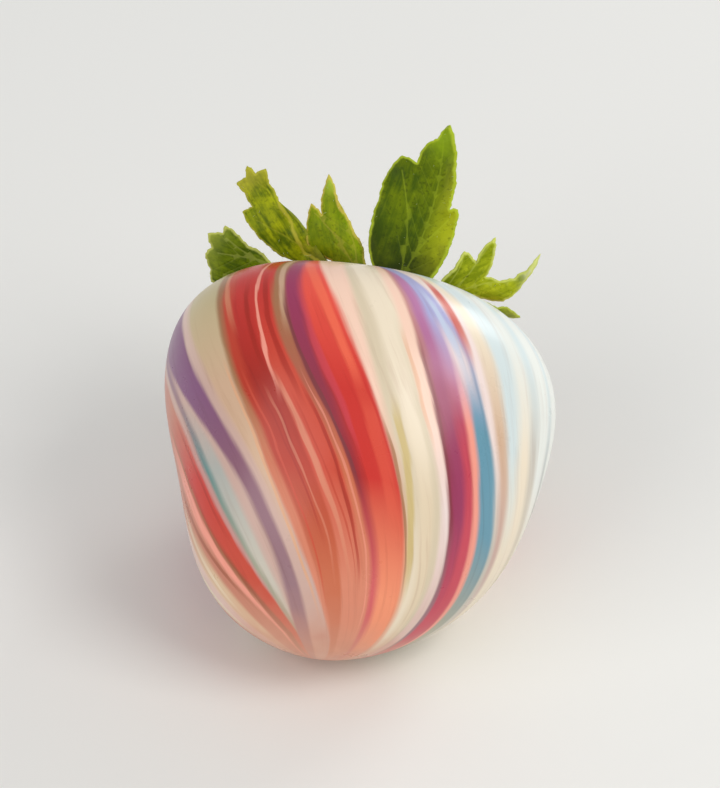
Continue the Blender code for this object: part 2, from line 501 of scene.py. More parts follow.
@dataclass(frozen=True)
class Stripe:
    """A stripe of the marbling, from its own start to the start of the next one.

    Attributes:
        starts: its left edge at each station, in degrees round the berry once the twist is undone.
        blend: half the width over which it blends with the stripe before.
        tones: its colours at TONE_FALLS, from the crown to the tip.
    """

    starts: tuple[float, float, float, float]
    blend: float
    tones: tuple[Tone, Tone, Tone, Tone]


@dataclass(frozen=True)
class Thread:
    """A thin line or a small fleck drawn through the stripes.

    Attributes:
        middles: its middle at each station, as a stripe's starts.
        half: half its width.
        tone: its colour.
        strength: how fully it covers, up to 1.
        span: the falls between which it shows.
    """

    middles: tuple[float, float, float, float]
    half: float
    tone: Tone
    strength: float
    span: tuple[float, float]


FRONT_STRIPES = (
    Stripe(
        (-104, -102, -101, -99), 2.0,
        (Tone.MAUVE_BEIGE, Tone.DUSTY_ROSE, Tone.ROSY_TAN, Tone.PEACH_BEIGE),
    ),
    Stripe((-98, -95, -93, -88), 2.0, (Tone.MAUVE_BEIGE, Tone.ROSY_TAN, Tone.ROSY_TAN, Tone.ROSY_TAN)),
    Stripe((-92, -87, -86.6, -79), 1.2, (Tone.IVORY_PINK, Tone.ROSY_TAN, Tone.CORAL_PINK, Tone.CORAL_PINK)),
    Stripe((-86, -81.5, -81, -74.6), 1.0, (Tone.DUSTY_ROSE, Tone.ROSY_TAN, Tone.BRICK, Tone.RUST)),
    Stripe((-83, -78, -78.6, -71.4), 1.2, (Tone.DUSTY_ROSE, Tone.ROSY_TAN, Tone.SCARLET, Tone.CORAL)),
    Stripe(
        (-76, -69.4, -68.6, -62.6), 0.9,
        (Tone.MAUVE_BEIGE, Tone.MAUVE_BEIGE, Tone.DUSTY_ROSE, Tone.DUSTY_ROSE),
    ),
    Stripe((-74, -66.6, -65.4, -61.2), 1.0, (Tone.PURPLE, Tone.SOFT_PURPLE, Tone.TEAL_GREY, Tone.SAGE)),
    Stripe((-73, -63.4, -62.4, -58.6), 1.2, (Tone.PURPLE, Tone.MAUVE_BEIGE, Tone.COOL_GREY, Tone.GREY_CREAM)),
    Stripe(
        (-72, -60.8, -56, -53.6), 1.6,
        (Tone.SOFT_PURPLE, Tone.MAUVE_BEIGE, Tone.MAUVE_BEIGE, Tone.MAUVE_BEIGE),
    ),
    Stripe((-69, -61, -51.8, -50.2), 1.2, (Tone.PURPLE, Tone.PURPLE, Tone.DUSKY_PURPLE, Tone.SOFT_PURPLE)),
    Stripe(
        (-52, -48.6, -44.6, -43.2), 1.1,
        (Tone.ROSY_CREAM, Tone.MAUVE_BEIGE, Tone.MAUVE_BEIGE, Tone.MAUVE_BEIGE),
    ),
    Stripe((-47.5, -44.5, -41.2, -39), 1.5, (Tone.KHAKI, Tone.TAN, Tone.TAN, Tone.MAUVE_BEIGE)),
    Stripe((-31, -33.2, -36.6, -34.5), 1.0, (Tone.BROWN_TAN, Tone.BROWN_TAN, Tone.SIENNA, Tone.SOFT_CORAL)),
    Stripe((-27, -31, -32.5, -31), 1.2, (Tone.CORAL, Tone.BRICK, Tone.BRICK, Tone.SIENNA)),
    Stripe((-22.5, -27, -29, -28), 1.2, (Tone.SCARLET, Tone.DEEP_RED, Tone.BRICK, Tone.SIENNA)),
    Stripe((-14.5, -18.5, -19.5, -21), 0.9, (Tone.SCARLET, Tone.CORAL, Tone.CORAL, Tone.SOFT_CORAL)),
    Stripe((-7.2, -10, -9, -10), 0.9, (Tone.BROWN_TAN, Tone.BROWN_CORAL, Tone.SIENNA, Tone.SOFT_CORAL)),
    Stripe((-2.5, -6, -5.5, -6.4), 1.0, (Tone.MAGENTA, Tone.PLUM, Tone.WINE, Tone.ROSE)),
    Stripe((3.4, -0.6, -1.6, -3), 1.8, (Tone.BRIGHT_RED, Tone.SCARLET, Tone.SCARLET, Tone.PEACH)),
    Stripe((12.6, 13.6, 11.6, 9), 1.0, (Tone.IVORY_PINK, Tone.IVORY_PINK, Tone.TAN, Tone.PALE_PEACH)),
    Stripe((20.4, 17, 13.5, 11.4), 1.4, (Tone.BEIGE, Tone.BEIGE, Tone.BEIGE, Tone.CREAM)),
    Stripe((24.4, 22.6, 18.4, 15.4), 1.6, (Tone.CREAM, Tone.CREAM, Tone.BUFF, Tone.BUFF)),
    Stripe((32, 28.4, 24, 20.6), 1.1, (Tone.CREAM, Tone.BEIGE, Tone.BEIGE, Tone.BEIGE)),
    Stripe((34, 30.4, 27, 23), 1.2, (Tone.IVORY_PINK, Tone.IVORY_PINK, Tone.PINK_WHITE, Tone.ROSY_CREAM)),
    Stripe((38, 34.6, 30.6, 28), 0.8, (Tone.DUSTY_ROSE, Tone.PLUM, Tone.PLUM, Tone.SOFT_PURPLE)),
    Stripe((39.6, 36.6, 32.6, 30.4), 1.2, (Tone.MAUVE, Tone.MAGENTA, Tone.MAGENTA, Tone.ROSE_RED)),
    Stripe((43.2, 41, 37.4, 34), 1.4, (Tone.LAVENDER, Tone.ROSE_RED, Tone.ROSE_RED, Tone.ROSE_RED)),
    Stripe(
        (44.6, 44.6, 41.6, 41.5), 1.0,
        (Tone.LAVENDER, Tone.CORAL_PINK, Tone.CORAL_PINK, Tone.CORAL_PINK),
    ),
    Stripe((45.4, 48, 45, 44.6), 1.2, (Tone.LAVENDER, Tone.STEEL_BLUE, Tone.STEEL_BLUE, Tone.SAGE)),
    Stripe(
        (50.4, 54.4, 53.6, 54), 1.2,
        (Tone.PINK_WHITE, Tone.PINK_WHITE, Tone.GREY_CREAM, Tone.GREY_CREAM),
    ),
    Stripe((56, 57.4, 56, 58), 1.4, (Tone.CREAM, Tone.TAN, Tone.MAUVE_BEIGE, Tone.GREY_CREAM)),
    Stripe((61, 63, 60, 62), 1.8, (Tone.COOL_PEARL, Tone.COOL_PEARL, Tone.CREAM, Tone.CREAM)),
    Stripe((70, 70, 66, 70), 2.4, (Tone.PEARL, Tone.CREAM, Tone.CREAM, Tone.CREAM)),
    Stripe((78, 77, 74, 78), 2.0, (Tone.COOL_PEARL, Tone.GREY_CREAM, Tone.BEIGE, Tone.BEIGE)),
    Stripe((83, 83, 80, 84), 2.0, (Tone.PEARL, Tone.PEARL, Tone.CREAM, Tone.CREAM)),
    Stripe((92, 92, 89, 92), 2.0, (Tone.COOL_PEARL, Tone.COOL_GREY, Tone.BEIGE, Tone.SAGE)),
    Stripe((96, 96, 94, 96), 1.6, (Tone.PEARL, Tone.PEARL, Tone.CREAM, Tone.CREAM)),
)

FRONT_THREADS = (
    Thread((-13, -18.6, -24.5, -31), 0.9, Tone.CORAL_PINK, 0.95, (40, 90)),
    Thread((-19, -18.6, -17.4, -16.5), 1.5, Tone.SOFT_CORAL, 0.85, (90, 165)),
    Thread((-17.5, -21.2, -24, -27), 1.3, Tone.DEEP_RED, 0.8, (60, 115)),
    Thread((-10, -13, -14, -15), 1.5, Tone.DEEP_RED, 0.7, (56, 92)),
    Thread((-9, -10.6, -10.4, -11.5), 0.9, Tone.DEEP_RED, 0.7, (94, 140)),
    Thread((-25, -26.4, -25.4, -26), 0.8, Tone.DEEP_RED, 0.6, (84, 130)),
    Thread((-27, -28.8, -29.8, -30), 0.6, Tone.CORAL, 0.7, (90, 146)),
    Thread((-22, -23.6, -23.2, -24), 0.6, Tone.SOFT_CORAL, 0.5, (96, 140)),
    Thread((-15.5, -16, -14.4, -13), 0.6, Tone.BRICK, 0.5, (96, 140)),
    Thread((-34, -34.6, -37.4, -37), 1.0, Tone.APRICOT, 0.7, (86, 150)),
    Thread((-27, -25.4, -25, -25), 1.6, Tone.APRICOT, 0.5, (36, 70)),
    Thread((-4, -7.6, -8.4, -9), 1.6, Tone.TAN, 0.8, (30, 70)),
    Thread((-3.5, -5.6, -4.6, -5), 1.1, Tone.DARK_PLUM, 0.85, (64, 118)),
    Thread((-3, -8, -7.4, -8), 0.5, Tone.CORAL_PINK, 0.45, (90, 156)),
    Thread((2, 0.6, 0, -1), 1.6, Tone.ROSE_RED, 0.5, (66, 106)),
    Thread((8.6, 9.4, 6, 4), 2.4, Tone.ORANGE_CORAL, 0.7, (44, 86)),
    Thread((9, 9.4, 8, 5), 3.4, Tone.ORANGE_CORAL, 0.3, (92, 124)),
    Thread((43, 40.6, 37, 35), 5.2, Tone.MAGENTA, 0.6, (80, 93)),
    Thread((13.6, 14.4, 12, 10.2), 0.8, Tone.BROWN_TAN, 0.8, (100, 140)),
    Thread((24, 21.6, 15.2, 12.2), 2.0, Tone.OLIVE_GOLD, 0.85, (94, 138)),
    Thread((34, 30.8, 28, 27), 1.0, Tone.APRICOT, 0.55, (72, 98)),
    Thread((38, 35.2, 31.8, 30), 1.0, Tone.DARK_PLUM, 0.5, (72, 118)),
    Thread((46, 50, 49, 50), 4.0, Tone.PINK_WHITE, 0.8, (66, 79)),
    Thread((47, 50, 50, 50), 1.8, Tone.PALE_BLUE, 0.8, (54, 72)),
    Thread((53, 53.4, 54, 54), 2.2, Tone.CORAL, 0.9, (46, 68)),
    Thread((-80, -80, -80, -74), 1.2, Tone.BROWN_TAN, 0.5, (96, 152)),
    Thread((-71, -71, -71, -66), 1.1, Tone.DEEP_RED, 0.5, (98, 132)),
    Thread((-88, -88, -90, -81.5), 1.8, Tone.RUST, 0.7, (118, 150)),
    Thread((-95, -95, -95, -94), 2.2, Tone.CREAM, 0.5, (124, 152)),
)

BACK_TONES = (
    (Tone.CREAM, Tone.IVORY_PINK, Tone.CREAM, Tone.BEIGE),
    (Tone.BRIGHT_RED, Tone.SCARLET, Tone.SCARLET, Tone.PEACH),
    (Tone.BROWN_TAN, Tone.BRICK, Tone.BRICK, Tone.SIENNA),
    (Tone.BEIGE, Tone.TAN, Tone.TAN, Tone.CREAM),
    (Tone.LAVENDER, Tone.STEEL_BLUE, Tone.STEEL_BLUE, Tone.SAGE),
    (Tone.PEARL, Tone.CREAM, Tone.CREAM, Tone.CREAM),
    (Tone.MAUVE, Tone.MAGENTA, Tone.MAGENTA, Tone.ROSE_RED),
    (Tone.IVORY_PINK, Tone.PINK_WHITE, Tone.PINK_WHITE, Tone.ROSY_CREAM),
    (Tone.CORAL, Tone.SCARLET, Tone.CORAL, Tone.SOFT_CORAL),
    (Tone.PLUM, Tone.PURPLE, Tone.PURPLE, Tone.SOFT_PURPLE),
    (Tone.KHAKI, Tone.OLIVE_GOLD, Tone.BEIGE, Tone.BEIGE),
)


@dataclass(frozen=True)
class BackMarbling:
    """The marbling of the side turned away, made in the same manner as the front's.

    Attributes:
        first: where it starts, in degrees with the twist undone.
        last: where it meets the front again.
        count: how many stripes it has.
        sway: how far a stripe's edge strays between stations.
        seed: the seed of its choices.
    """

    first: float = 110.0
    last: float = 256.0
    count: int = 22
    sway: float = 2.4
    seed: int = 11

    def stripes(self) -> list[Stripe]:
        """Make the stripes.

        Returns:
            Stripes in order round the berry.
        """
        chance = random.Random(self.seed)
        widths = [chance.choice((0.5, 0.8, 1.2, 1.8)) for _ in range(self.count)]
        room = (self.last - self.first) / sum(widths)
        start = self.first
        made = []
        for number, width in enumerate(widths):
            ease = min(1.0, 0.5 * min(number, self.count - number))
            starts = tuple(start + ease * chance.uniform(-self.sway, self.sway) / 2 for _ in STATIONS)
            tones = BACK_TONES[(number * 4 + chance.randrange(2)) % len(BACK_TONES)]
            made.append(Stripe(starts, chance.uniform(0.5, 1.4), tones))
            start += width * room
        return made

    def threads(self) -> list[Thread]:
        """Make the thin lines.

        Returns:
            Threads spread over the same side.
        """
        chance = random.Random(self.seed + 1)
        made = []
        for number in range(self.count // 2):
            middle = self.first + (self.last - self.first) * (number + 0.5) * 2 / self.count
            middles = tuple(middle + chance.uniform(-self.sway, self.sway) for _ in STATIONS)
            tone = chance.choice((Tone.CORAL_PINK, Tone.DEEP_RED, Tone.APRICOT, Tone.PINK_WHITE, Tone.BROWN_TAN))
            top = chance.uniform(20, 80)
            span = (top, top + chance.uniform(50, 90))
            made.append(Thread(middles, chance.uniform(0.5, 1.1), tone, 0.75, span))
        return made


@dataclass(frozen=True)
class CoatFinish:
    """White chocolate swirled with coloured chocolate, set to a satin skin.

    Attributes:
        twist: how far the stripes turn round the berry for each degree of fall.
        twist_from: the fall at which the twist is nothing.
        tip_shift: how far the pole that the stripes run to is moved, across and forward.
        pole_height: height of the middle that falls are measured from.
        wander: how far the edges stray, in degrees.
        streak: how far fine streaks stray, in degrees.
        roughness: the satin's roughness.
        bare_radius: how far from the axis the fruit is bare round the calyx.
        softness: how much softer than drawn the stripes' edges are.
        pool_falls: the falls between which the stripes run together at the tip.
    """

    twist: float = 2 / 3
    twist_from: float = 89.7
    tip_shift: tuple[float, float] = (0.5 * MM, 5.0 * MM)
    pole_height: float = -20.0 * MM
    wander: float = 1.3
    streak: float = 0.9
    roughness: float = 0.3
    bare_radius: float = 5.2 * MM
    softness: float = 1.25
    pool_falls: tuple[float, float] = (145.0, 170.0)

    def material(self, lay: Lay, berry: "CoatedBerry") -> bpy.types.Material:
        """Build the material.

        Args:
            lay: how the berry lies.
            berry: the berry that wears the coat.

        Returns:
            The material.
        """
        material, tree, shader = new_material("marbled_white_chocolate")
        own = lay.own_place(tree)
        x, y, z = tree.split(own)
        below = ((-z - berry.widest_depth) / (berry.length - berry.widest_depth)).most(0.0).least(1.0)
        below = below * below
        across = x - below * self.tip_shift[0]
        forward = -y + below * self.tip_shift[1]
        radius = (across * across + forward * forward).sqrt()
        fall = radius.atan2(z - self.pole_height) * (180 / math.pi)
        round_angle = across.atan2(forward) * (180 / math.pi)
        flow = (round_angle - (fall - self.twist_from) * self.twist).wrapped(SEAM, SEAM + 360)
        flow, fall = self._strayed(tree, flow, fall)
        colour = self._streaked(tree, self._marbled(tree, flow, fall), flow, fall)
        colour = self._run_together(tree, colour, own, fall)
        colour = self._bared(tree, colour, own, (x * x + y * y).sqrt(), z)
        grain = tree.noise(own, 700.0, 2.0)
        dimple = tree.noise(own, 150.0, 1.0)
        bump = tree.node(
            "ShaderNodeBump",
            None,
            {"Strength": 0.1, "Distance": 0.2 * MM, "Height": grain * 0.1 + dimple},
        )
        inputs = {
            "Base Color": colour,
            "Roughness": grain * 0.08 + dimple * 0.12 + self.roughness,
            "Specular IOR Level": 0.36,
            "Coat Weight": 0.08,
            "Coat Roughness": 0.22,
            "Normal": bump.outputs[0],
        }
        dress(tree, shader, inputs)
        return material

    def _strayed(self, tree: Tree, flow: Expr, fall: Expr) -> tuple[Expr, Expr]:
        """Let the stripes stray from their course, broadly and in fine streaks.

        The fall strays too, so that no stripe's nodes can be worked out before the noise is: Cycles
        would otherwise hold too many of their values at once.
        """
        turn = flow * (math.pi / 180)
        side, front = turn.cos(), turn.sin()
        broad = tree.noise(tree.vector(side * 4.0, front * 4.0, fall / 22), 1.0, 1.0)
        fine = tree.noise(tree.vector(side * 30.0, front * 30.0, fall / 16), 1.0, 2.0)
        strayed = flow + broad * (self.wander * 2) + fine * (self.streak * 2)
        return strayed, fall + broad * (self.wander * 3)

    def _marbled(self, tree: Tree, flow: Expr, fall: Expr) -> bpy.types.NodeSocket:
        """Lay the stripes side by side and draw the threads over them."""
        step = ((fall - STATION_MIDDLE) / STATION_HALF).most(-1.35).least(1.35)
        depth = fall / 180
        back = BackMarbling()
        stripes = [*FRONT_STRIPES, *back.stripes()]
        colour = self._tones(tree, depth, stripes[-1].tones)
        for stripe in stripes:
            away = flow - self._course(step, stripe.starts)
            blend = stripe.blend * self.softness
            mask = away.smooth(-blend, blend)
            colour = tree.mix(colour, self._tones(tree, depth, stripe.tones), mask)
        for thread in (*FRONT_THREADS, *back.threads()):
            away = abs(flow - self._course(step, thread.middles))
            mask = away.smooth(thread.half, thread.half * 0.35)
            start, end = thread.span
            shown = fall.smooth(start - 6, start + 6) * fall.smooth(end + 8, end - 8)
            colour = tree.mix(colour, thread.tone.colour, mask * shown * thread.strength)
        return colour

    def _run_together(self, tree: Tree, colour: Any, own: Any, fall: Expr) -> bpy.types.NodeSocket:
        """Let the stripes run together where the last drops hung, at the tip."""
        cloud = tree.noise(own, 260.0, 2.0)
        pool = tree.mix(Tone.PALE_PEACH.colour, Tone.ROSY_TAN.colour, cloud + 0.5)
        start, end = self.pool_falls
        return tree.mix(colour, pool, (fall + cloud * 16).smooth(start, end) * 0.8)

    @staticmethod
    def _streaked(tree: Tree, colour: Any, flow: Expr, fall: Expr) -> bpy.types.NodeSocket:
        """Vary the colour in faint streaks that run with the stripes."""
        turn = flow * (math.pi / 180)
        streak = tree.noise(tree.vector(turn.cos() * 22, turn.sin() * 22, fall / 30), 1.0, 3.0, 0.6)
        return tree.mix(colour, (0.74, 0.64, 0.60, 1.0), streak.smooth(0.0, 0.3) * 0.5, "MULTIPLY")

    @staticmethod
    def _course(step: Expr, values: Sequence[float]) -> Expr:
        """Follow the cubic through the values at the stations."""
        third, second, first, constant = cubic_through(values)
        return step.times_plus(third, second).times_plus(step, first).times_plus(step, constant)

    @staticmethod
    def _tones(tree: Tree, depth: Expr, tones: Sequence[Tone]) -> bpy.types.NodeSocket:
        """Blend a stripe's three colours from crown to tip."""
        stops = [(fall / 180, tone.colour) for fall, tone in zip(TONE_FALLS, tones)]
        return tree.ramp(depth, stops)

    def _bared(
        self, tree: Tree, colour: Any, own: Any, radius: Expr, z: Expr
    ) -> bpy.types.NodeSocket:
        """Show the bare fruit in the crown's dimple, inside the edge of the coat."""
        edge = radius + tree.noise(own, 500.0) * (1.2 * MM)
        bare = edge.smooth(self.bare_radius + 0.15 * MM, self.bare_radius - 0.15 * MM) * z.over(-6 * MM)
        flesh = tree.mix(
            Tone.FLESH_RED.colour,
            Tone.FLESH_PINK.colour,
            radius.smooth(self.bare_radius, self.bare_radius * 0.5),
        )
        return tree.mix(colour, flesh, bare)


@dataclass(frozen=True)
class CoatedBerry:
    """The fruit in its coat, a lumpy turned form with a dimple at the crown.

    Attributes:
        width: its width at the widest.
        depth: its depth there, from front to back.
        length: from the top of the shoulders to the tip.
        widest_depth: how far below the shoulders it is widest.
        shoulder_power: roundness of the shoulders.
        tip_power: roundness of the tip.
        tip_sway: how far the tip is off the axis.
        dimple_depth: depth of the crown's dimple.
        dimple_radius: radius of the dimple.
        four_sided: size and angle of the four-sided lumps.
        three_sided: size and angle of the three-sided lumps.
        unevenness: how far the coat's skin strays.
        bare_sink: how far the bare fruit lies below the coat's edge.
        segments: points round it.
        rings: rings of points from crown to tip.
    """

    width: float = 43.0 * MM
    depth: float = 39.2 * MM
    length: float = 43.6 * MM
    widest_depth: float = 14.5 * MM
    shoulder_power: float = 2.47
    tip_power: float = 1.77
    tip_sway: float = 2.4 * MM
    dimple_depth: float = 2.6 * MM
    dimple_radius: float = 6.0 * MM
    four_sided: tuple[float, float] = (0.032, 56.5)
    three_sided: tuple[float, float] = (0.027, 3.0)
    unevenness: float = 0.16 * MM
    bare_sink: float = 0.35 * MM
    segments: int = 288
    rings: int = 224

    def sizes(self) -> dict[str, float]:
        """The geometry tree's named inputs."""
        return {
            "Width": self.width,
            "Depth": self.depth,
            "Length": self.length,
            "Widest Depth": self.widest_depth,
            "Shoulder Power": self.shoulder_power,
            "Tip Power": self.tip_power,
            "Tip Sway": self.tip_sway,
            "Dimple Depth": self.dimple_depth,
            "Dimple Radius": self.dimple_radius,
            "Four Sided": self.four_sided[0],
            "Three Sided": self.three_sided[0],
            "Unevenness": self.unevenness,
            "Bare Sink": self.bare_sink,
        }

    def _form(self, tree: Tree, place: Any, size: dict[str, Expr]) -> bpy.types.NodeSocket:
        """Work out the berry's skin over a unit sphere.

        Args:
            tree: the geometry tree.
            place: the sphere's positions.
            size: the tree's named inputs.

        Returns:
            The socket of the new positions.
        """
        x, y, z = tree.split(place)
        level = (x * x + y * y).sqrt().most(1e-9)
        upper = z.over(0.0)
        power = upper * (2 / size["Shoulder Power"]) + (1 - upper) * (2 / size["Tip Power"])
        share = level**power
        rise = abs(z) ** power
        half = size["Width"] / 2
        spread = share * half / size["Dimple Radius"]
        dimple = (-(spread * spread)).exp() * size["Dimple Depth"]
        top = (1 - rise) * size["Widest Depth"] + dimple
        lower_length = size["Length"] - size["Widest Depth"]
        bottom = rise * lower_length + size["Widest Depth"]
        depth = upper * top + (1 - upper) * bottom
        below = ((depth - size["Widest Depth"]) / lower_length).most(0.0)
        wide = share * half * (x / level) + below * below * size["Tip Sway"]
        deep = share * size["Depth"] / 2 * (y / level)
        high = size["Length"] / 2 - depth
        around = high.atan2(wide)
        flat = wide * wide + high * high
        flatness = flat / (flat + deep * deep)
        lumps = ((around - math.radians(self.four_sided[1])) * 4).cos() * size["Four Sided"]
        lumps = lumps + ((around - math.radians(self.three_sided[1])) * 3).cos() * size["Three Sided"]
        grown = flatness * lumps + 1
        sunk = self._bare_sink(tree, place, share * half, upper, size["Bare Sink"])
        return tree.vector(wide * grown, deep, high * grown - size["Length"] / 2 - sunk)

    @staticmethod
    def _bare_sink(tree: Tree, place: Any, radius: Expr, upper: Expr, sink: Expr) -> Expr:
        """Step down from the coat's edge to the bare fruit in the dimple."""
        finish = CoatFinish()
        edge = radius + tree.noise(place, 11.0) * (1.2 * MM)
        step = edge.smooth(finish.bare_radius + 0.35 * MM, finish.bare_radius - 0.1 * MM)
        return step * upper * sink

    def _tree(self) -> bpy.types.NodeTree:
        """Build the geometry tree that makes the skin.

        Returns:
            The node group, with one named input for each size.
        """
        group = bpy.data.node_groups.new("berry_skin", "GeometryNodeTree")
        group.interface.new_socket(name="Geometry", in_out="OUTPUT", socket_type="NodeSocketGeometry")
        for name in self.sizes():
            group.interface.new_socket(name=name, in_out="INPUT", socket_type="NodeSocketFloat")
        group.interface.new_socket(name="Finish", in_out="INPUT", socket_type="NodeSocketMaterial")
        tree = Tree(group)
        entry = tree.node("NodeGroupInput")
        size = {name: tree.expr(entry, name) for name in self.sizes()}
        sphere = tree.node(
            "GeometryNodeMeshUVSphere",
            None,
            {"Segments": self.segments, "Rings": self.rings, "Radius": 1.0},
        )
        place = tree.node("GeometryNodeInputPosition").outputs[0]
        form = tree.node(
            "GeometryNodeSetPosition",
            None,
            {"Geometry": sphere.outputs[0], "Position": self._form(tree, place, size)},
        )
        normal = tree.node("GeometryNodeInputNormal").outputs[0]
        swell = tree.noise(place, 2.6, 2.0) * size["Unevenness"] * 2
        offset = tree.node("ShaderNodeVectorMath", {"operation": "SCALE"}, {"Vector": normal, "Scale": swell})
        skin = tree.node(
            "GeometryNodeSetPosition", None, {"Geometry": form.outputs[0], "Offset": offset.outputs[0]}
        )
        smooth = tree.node("GeometryNodeSetShadeSmooth", None, {"Geometry": skin.outputs[0]})
        whole = tree.node("GeometryNodeRealizeInstances", None, {"Geometry": smooth.outputs[0]})
        dressed = tree.node(
            "GeometryNodeSetMaterial",
            None,
            {"Geometry": whole.outputs[0], "Material": entry.outputs["Finish"]},
        )
        tree.node("NodeGroupOutput", None, {"Geometry": dressed.outputs[0]})
        return group

    def upright_mesh(self) -> bpy.types.Mesh:
        """Make the skin in the berry's own frame.

        Returns:
            A plain mesh.
        """
        return mesh_from_tree("berry_skin", None, self._tree(), self.sizes())

    def lay(self, mesh: bpy.types.Mesh) -> Lay:
        """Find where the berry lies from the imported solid's box.

        Args:
            mesh: the upright skin.

        Returns:
            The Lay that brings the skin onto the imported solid.
        """
        turned = points_of(mesh) @ np.array(Lay().turn.to_matrix()).T
        low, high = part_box("coated_berry")
        middle = (turned.min(0) + turned.max(0)) / 2
        corner = (
            (low.x + high.x) / 2 - float(middle[0]),
            (low.y + high.y) / 2 - float(middle[1]),
            high.z - float(turned[:, 2].max()),
        )
        return Lay(corner=corner)

    def build(self) -> tuple[bpy.types.Object, Lay]:
        """Make the coated berry and lay it on its foot.

        Returns:
            The piece, and how it lies.
        """
        mesh = self.upright_mesh()
        lay = self.lay(mesh)
        mesh.transform(lay.matrix)
        places = points_of(mesh)
        places[:, 2] = places[:, 2].clip(0.0)
        mesh.vertices.foreach_set("co", places.astype(np.float32).ravel())
        mesh.update()
        mesh.materials.clear()
        mesh.materials.append(CoatFinish().material(lay, self))
        piece = add_piece("marbled_berry", mesh, "coat_marbled", "coated_berry")
        return piece, lay


# ---------------------------------------------------------------------------------------------
# Meshes and pieces
# ---------------------------------------------------------------------------------------------


def points_of(mesh: bpy.types.Mesh) -> np.ndarray:
    """Read a mesh's vertices.

    Args:
        mesh: the mesh.

    Returns:
        One row of X, Y and Z for each vertex.
    """
    places = np.zeros(len(mesh.vertices) * 3, np.float64)
    mesh.vertices.foreach_get("co", places)
    return places.reshape(-1, 3)


def mesh_from_tree(
    name: str,
    base: Optional[bpy.types.Mesh],
    group: bpy.types.NodeTree,
    values: dict[str, Any],
) -> bpy.types.Mesh:
    """Run a geometry tree once and keep its result as a plain mesh.

    Args:
        name: the new mesh's name.
        base: the mesh that the tree works on, or None for an empty one.
        group: the geometry tree.
        values: values for the tree's named inputs.

    Returns:
        The plain mesh.
    """
    holder = bpy.data.objects.new(name, base or bpy.data.meshes.new(name + "_base"))
    bpy.context.collection.objects.link(holder)
    modifier = holder.modifiers.new("tree", "NODES")
    modifier.node_group = group
    for item in group.interface.items_tree:
        if item.item_type == "SOCKET" and item.in_out == "INPUT" and item.name in values:
            modifier[item.identifier] = values[item.name]
    graph = bpy.context.evaluated_depsgraph_get()
    mesh = bpy.data.meshes.new_from_object(holder.evaluated_get(graph))
    mesh.name = name
    bpy.data.objects.remove(holder)
    return mesh


def add_piece(name: str, mesh: bpy.types.Mesh, slot: str, *nodes: str) -> bpy.types.Object:
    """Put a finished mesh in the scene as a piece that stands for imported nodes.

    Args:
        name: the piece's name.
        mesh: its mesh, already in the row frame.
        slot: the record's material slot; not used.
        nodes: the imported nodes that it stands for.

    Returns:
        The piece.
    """
    piece = bpy.data.objects.new(name, mesh)
    bpy.context.collection.objects.link(piece)
    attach(piece, "root")
    if nodes:
        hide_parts(*nodes)
    return piece


# ---------------------------------------------------------------------------------------------
# The calyx
# ---------------------------------------------------------------------------------------------


def lance(length: float, width: float, teeth: int) -> tuple[tuple[float, float], ...]:
    """Outline a plain toothed leaf.

    Args:
        length: from base to tip, in millimetres.
        width: at the widest, in millimetres.
        teeth: teeth on each side.

    Returns:
        Corners (across, along) in millimetres, from the right of the base round the tip.
    """
    right = [(0.9, 0.0)]
    for step in range(1, 2 * teeth + 1):
        share = step / (2 * teeth + 1)
        half = width / 2 * math.sin(math.pi * share**0.85)
        right.append((half * (1.15 if step % 2 == 0 else 0.92), length * share))
    left = [(-across, along) for across, along in reversed(right)]
    return (*right, (0.0, length), *left)


# Outlines in millimetres, (across, along), from the right of the base round the tip
BLUNT = (
    (1.0, 0.0), (0.9, 5.0), (0.5, 9.0), (1.2, 12.0), (2.3, 15.3), (1.4, 15.2), (0.9, 16.7),
    (-0.6, 15.7), (-1.5, 16.1), (-3.2, 14.9), (-4.7, 14.3), (-3.9, 11.5), (-2.2, 7.0), (-0.9, 3.5),
    (-0.9, 0.0),
)
FORKED = (
    (0.9, 0.0), (-0.2, 3.0), (-1.8, 5.8), (-1.1, 8.5), (-0.8, 11.5), (-0.6, 14.3), (0.0, 15.8),
    (-1.3, 16.0), (-1.8, 17.3), (-2.5, 16.3), (-3.8, 16.4), (-3.5, 15.0), (-3.7, 13.3),
    (-5.0, 13.5), (-4.9, 11.0), (-4.6, 8.5), (-3.5, 5.8),
    (-1.9, 3.2), (-0.9, 0.0),
)
TOOTHED = (
    (1.0, 0.0), (0.9, 2.7), (0.2, 5.6), (-1.2, 8.5), (-2.1, 12.4), (-3.4, 8.1), (-4.4, 9.5),
    (-5.5, 6.6), (-5.6, 4.7), (-3.3, 3.0), (-0.9, 0.0),
)
BROAD = (
    (1.2, 0.0), (3.3, 2.2), (3.9, 6.0), (3.8, 8.4), (3.4, 10.3), (2.5, 10.0), (2.4, 11.6),
    (1.7, 14.2), (0.6, 17.0), (-0.6, 18.7), (-1.3, 16.8), (-2.2, 15.9), (-2.5, 13.6), (-4.3, 13.8),
    (-5.0, 12.0), (-5.0, 8.3), (-4.5, 3.7), (-3.1, 1.2), (-1.2, 0.0),
)
THREE_LOBED = (
    (1.0, 0.0), (1.0, 3.0), (1.2, 5.4), (2.2, 6.4), (3.0, 7.8), (3.0, 9.2), (2.2, 11.0),
    (-0.2, 13.9), (0.9, 11.9), (1.2, 10.3), (0.8, 8.7), (-0.2, 7.4), (-2.0, 9.0), (-3.9, 9.9), (-3.4, 8.3),
    (-2.2, 7.0), (-4.0, 6.2), (-2.9, 4.5), (-1.7, 2.4), (-1.0, 0.0),
)


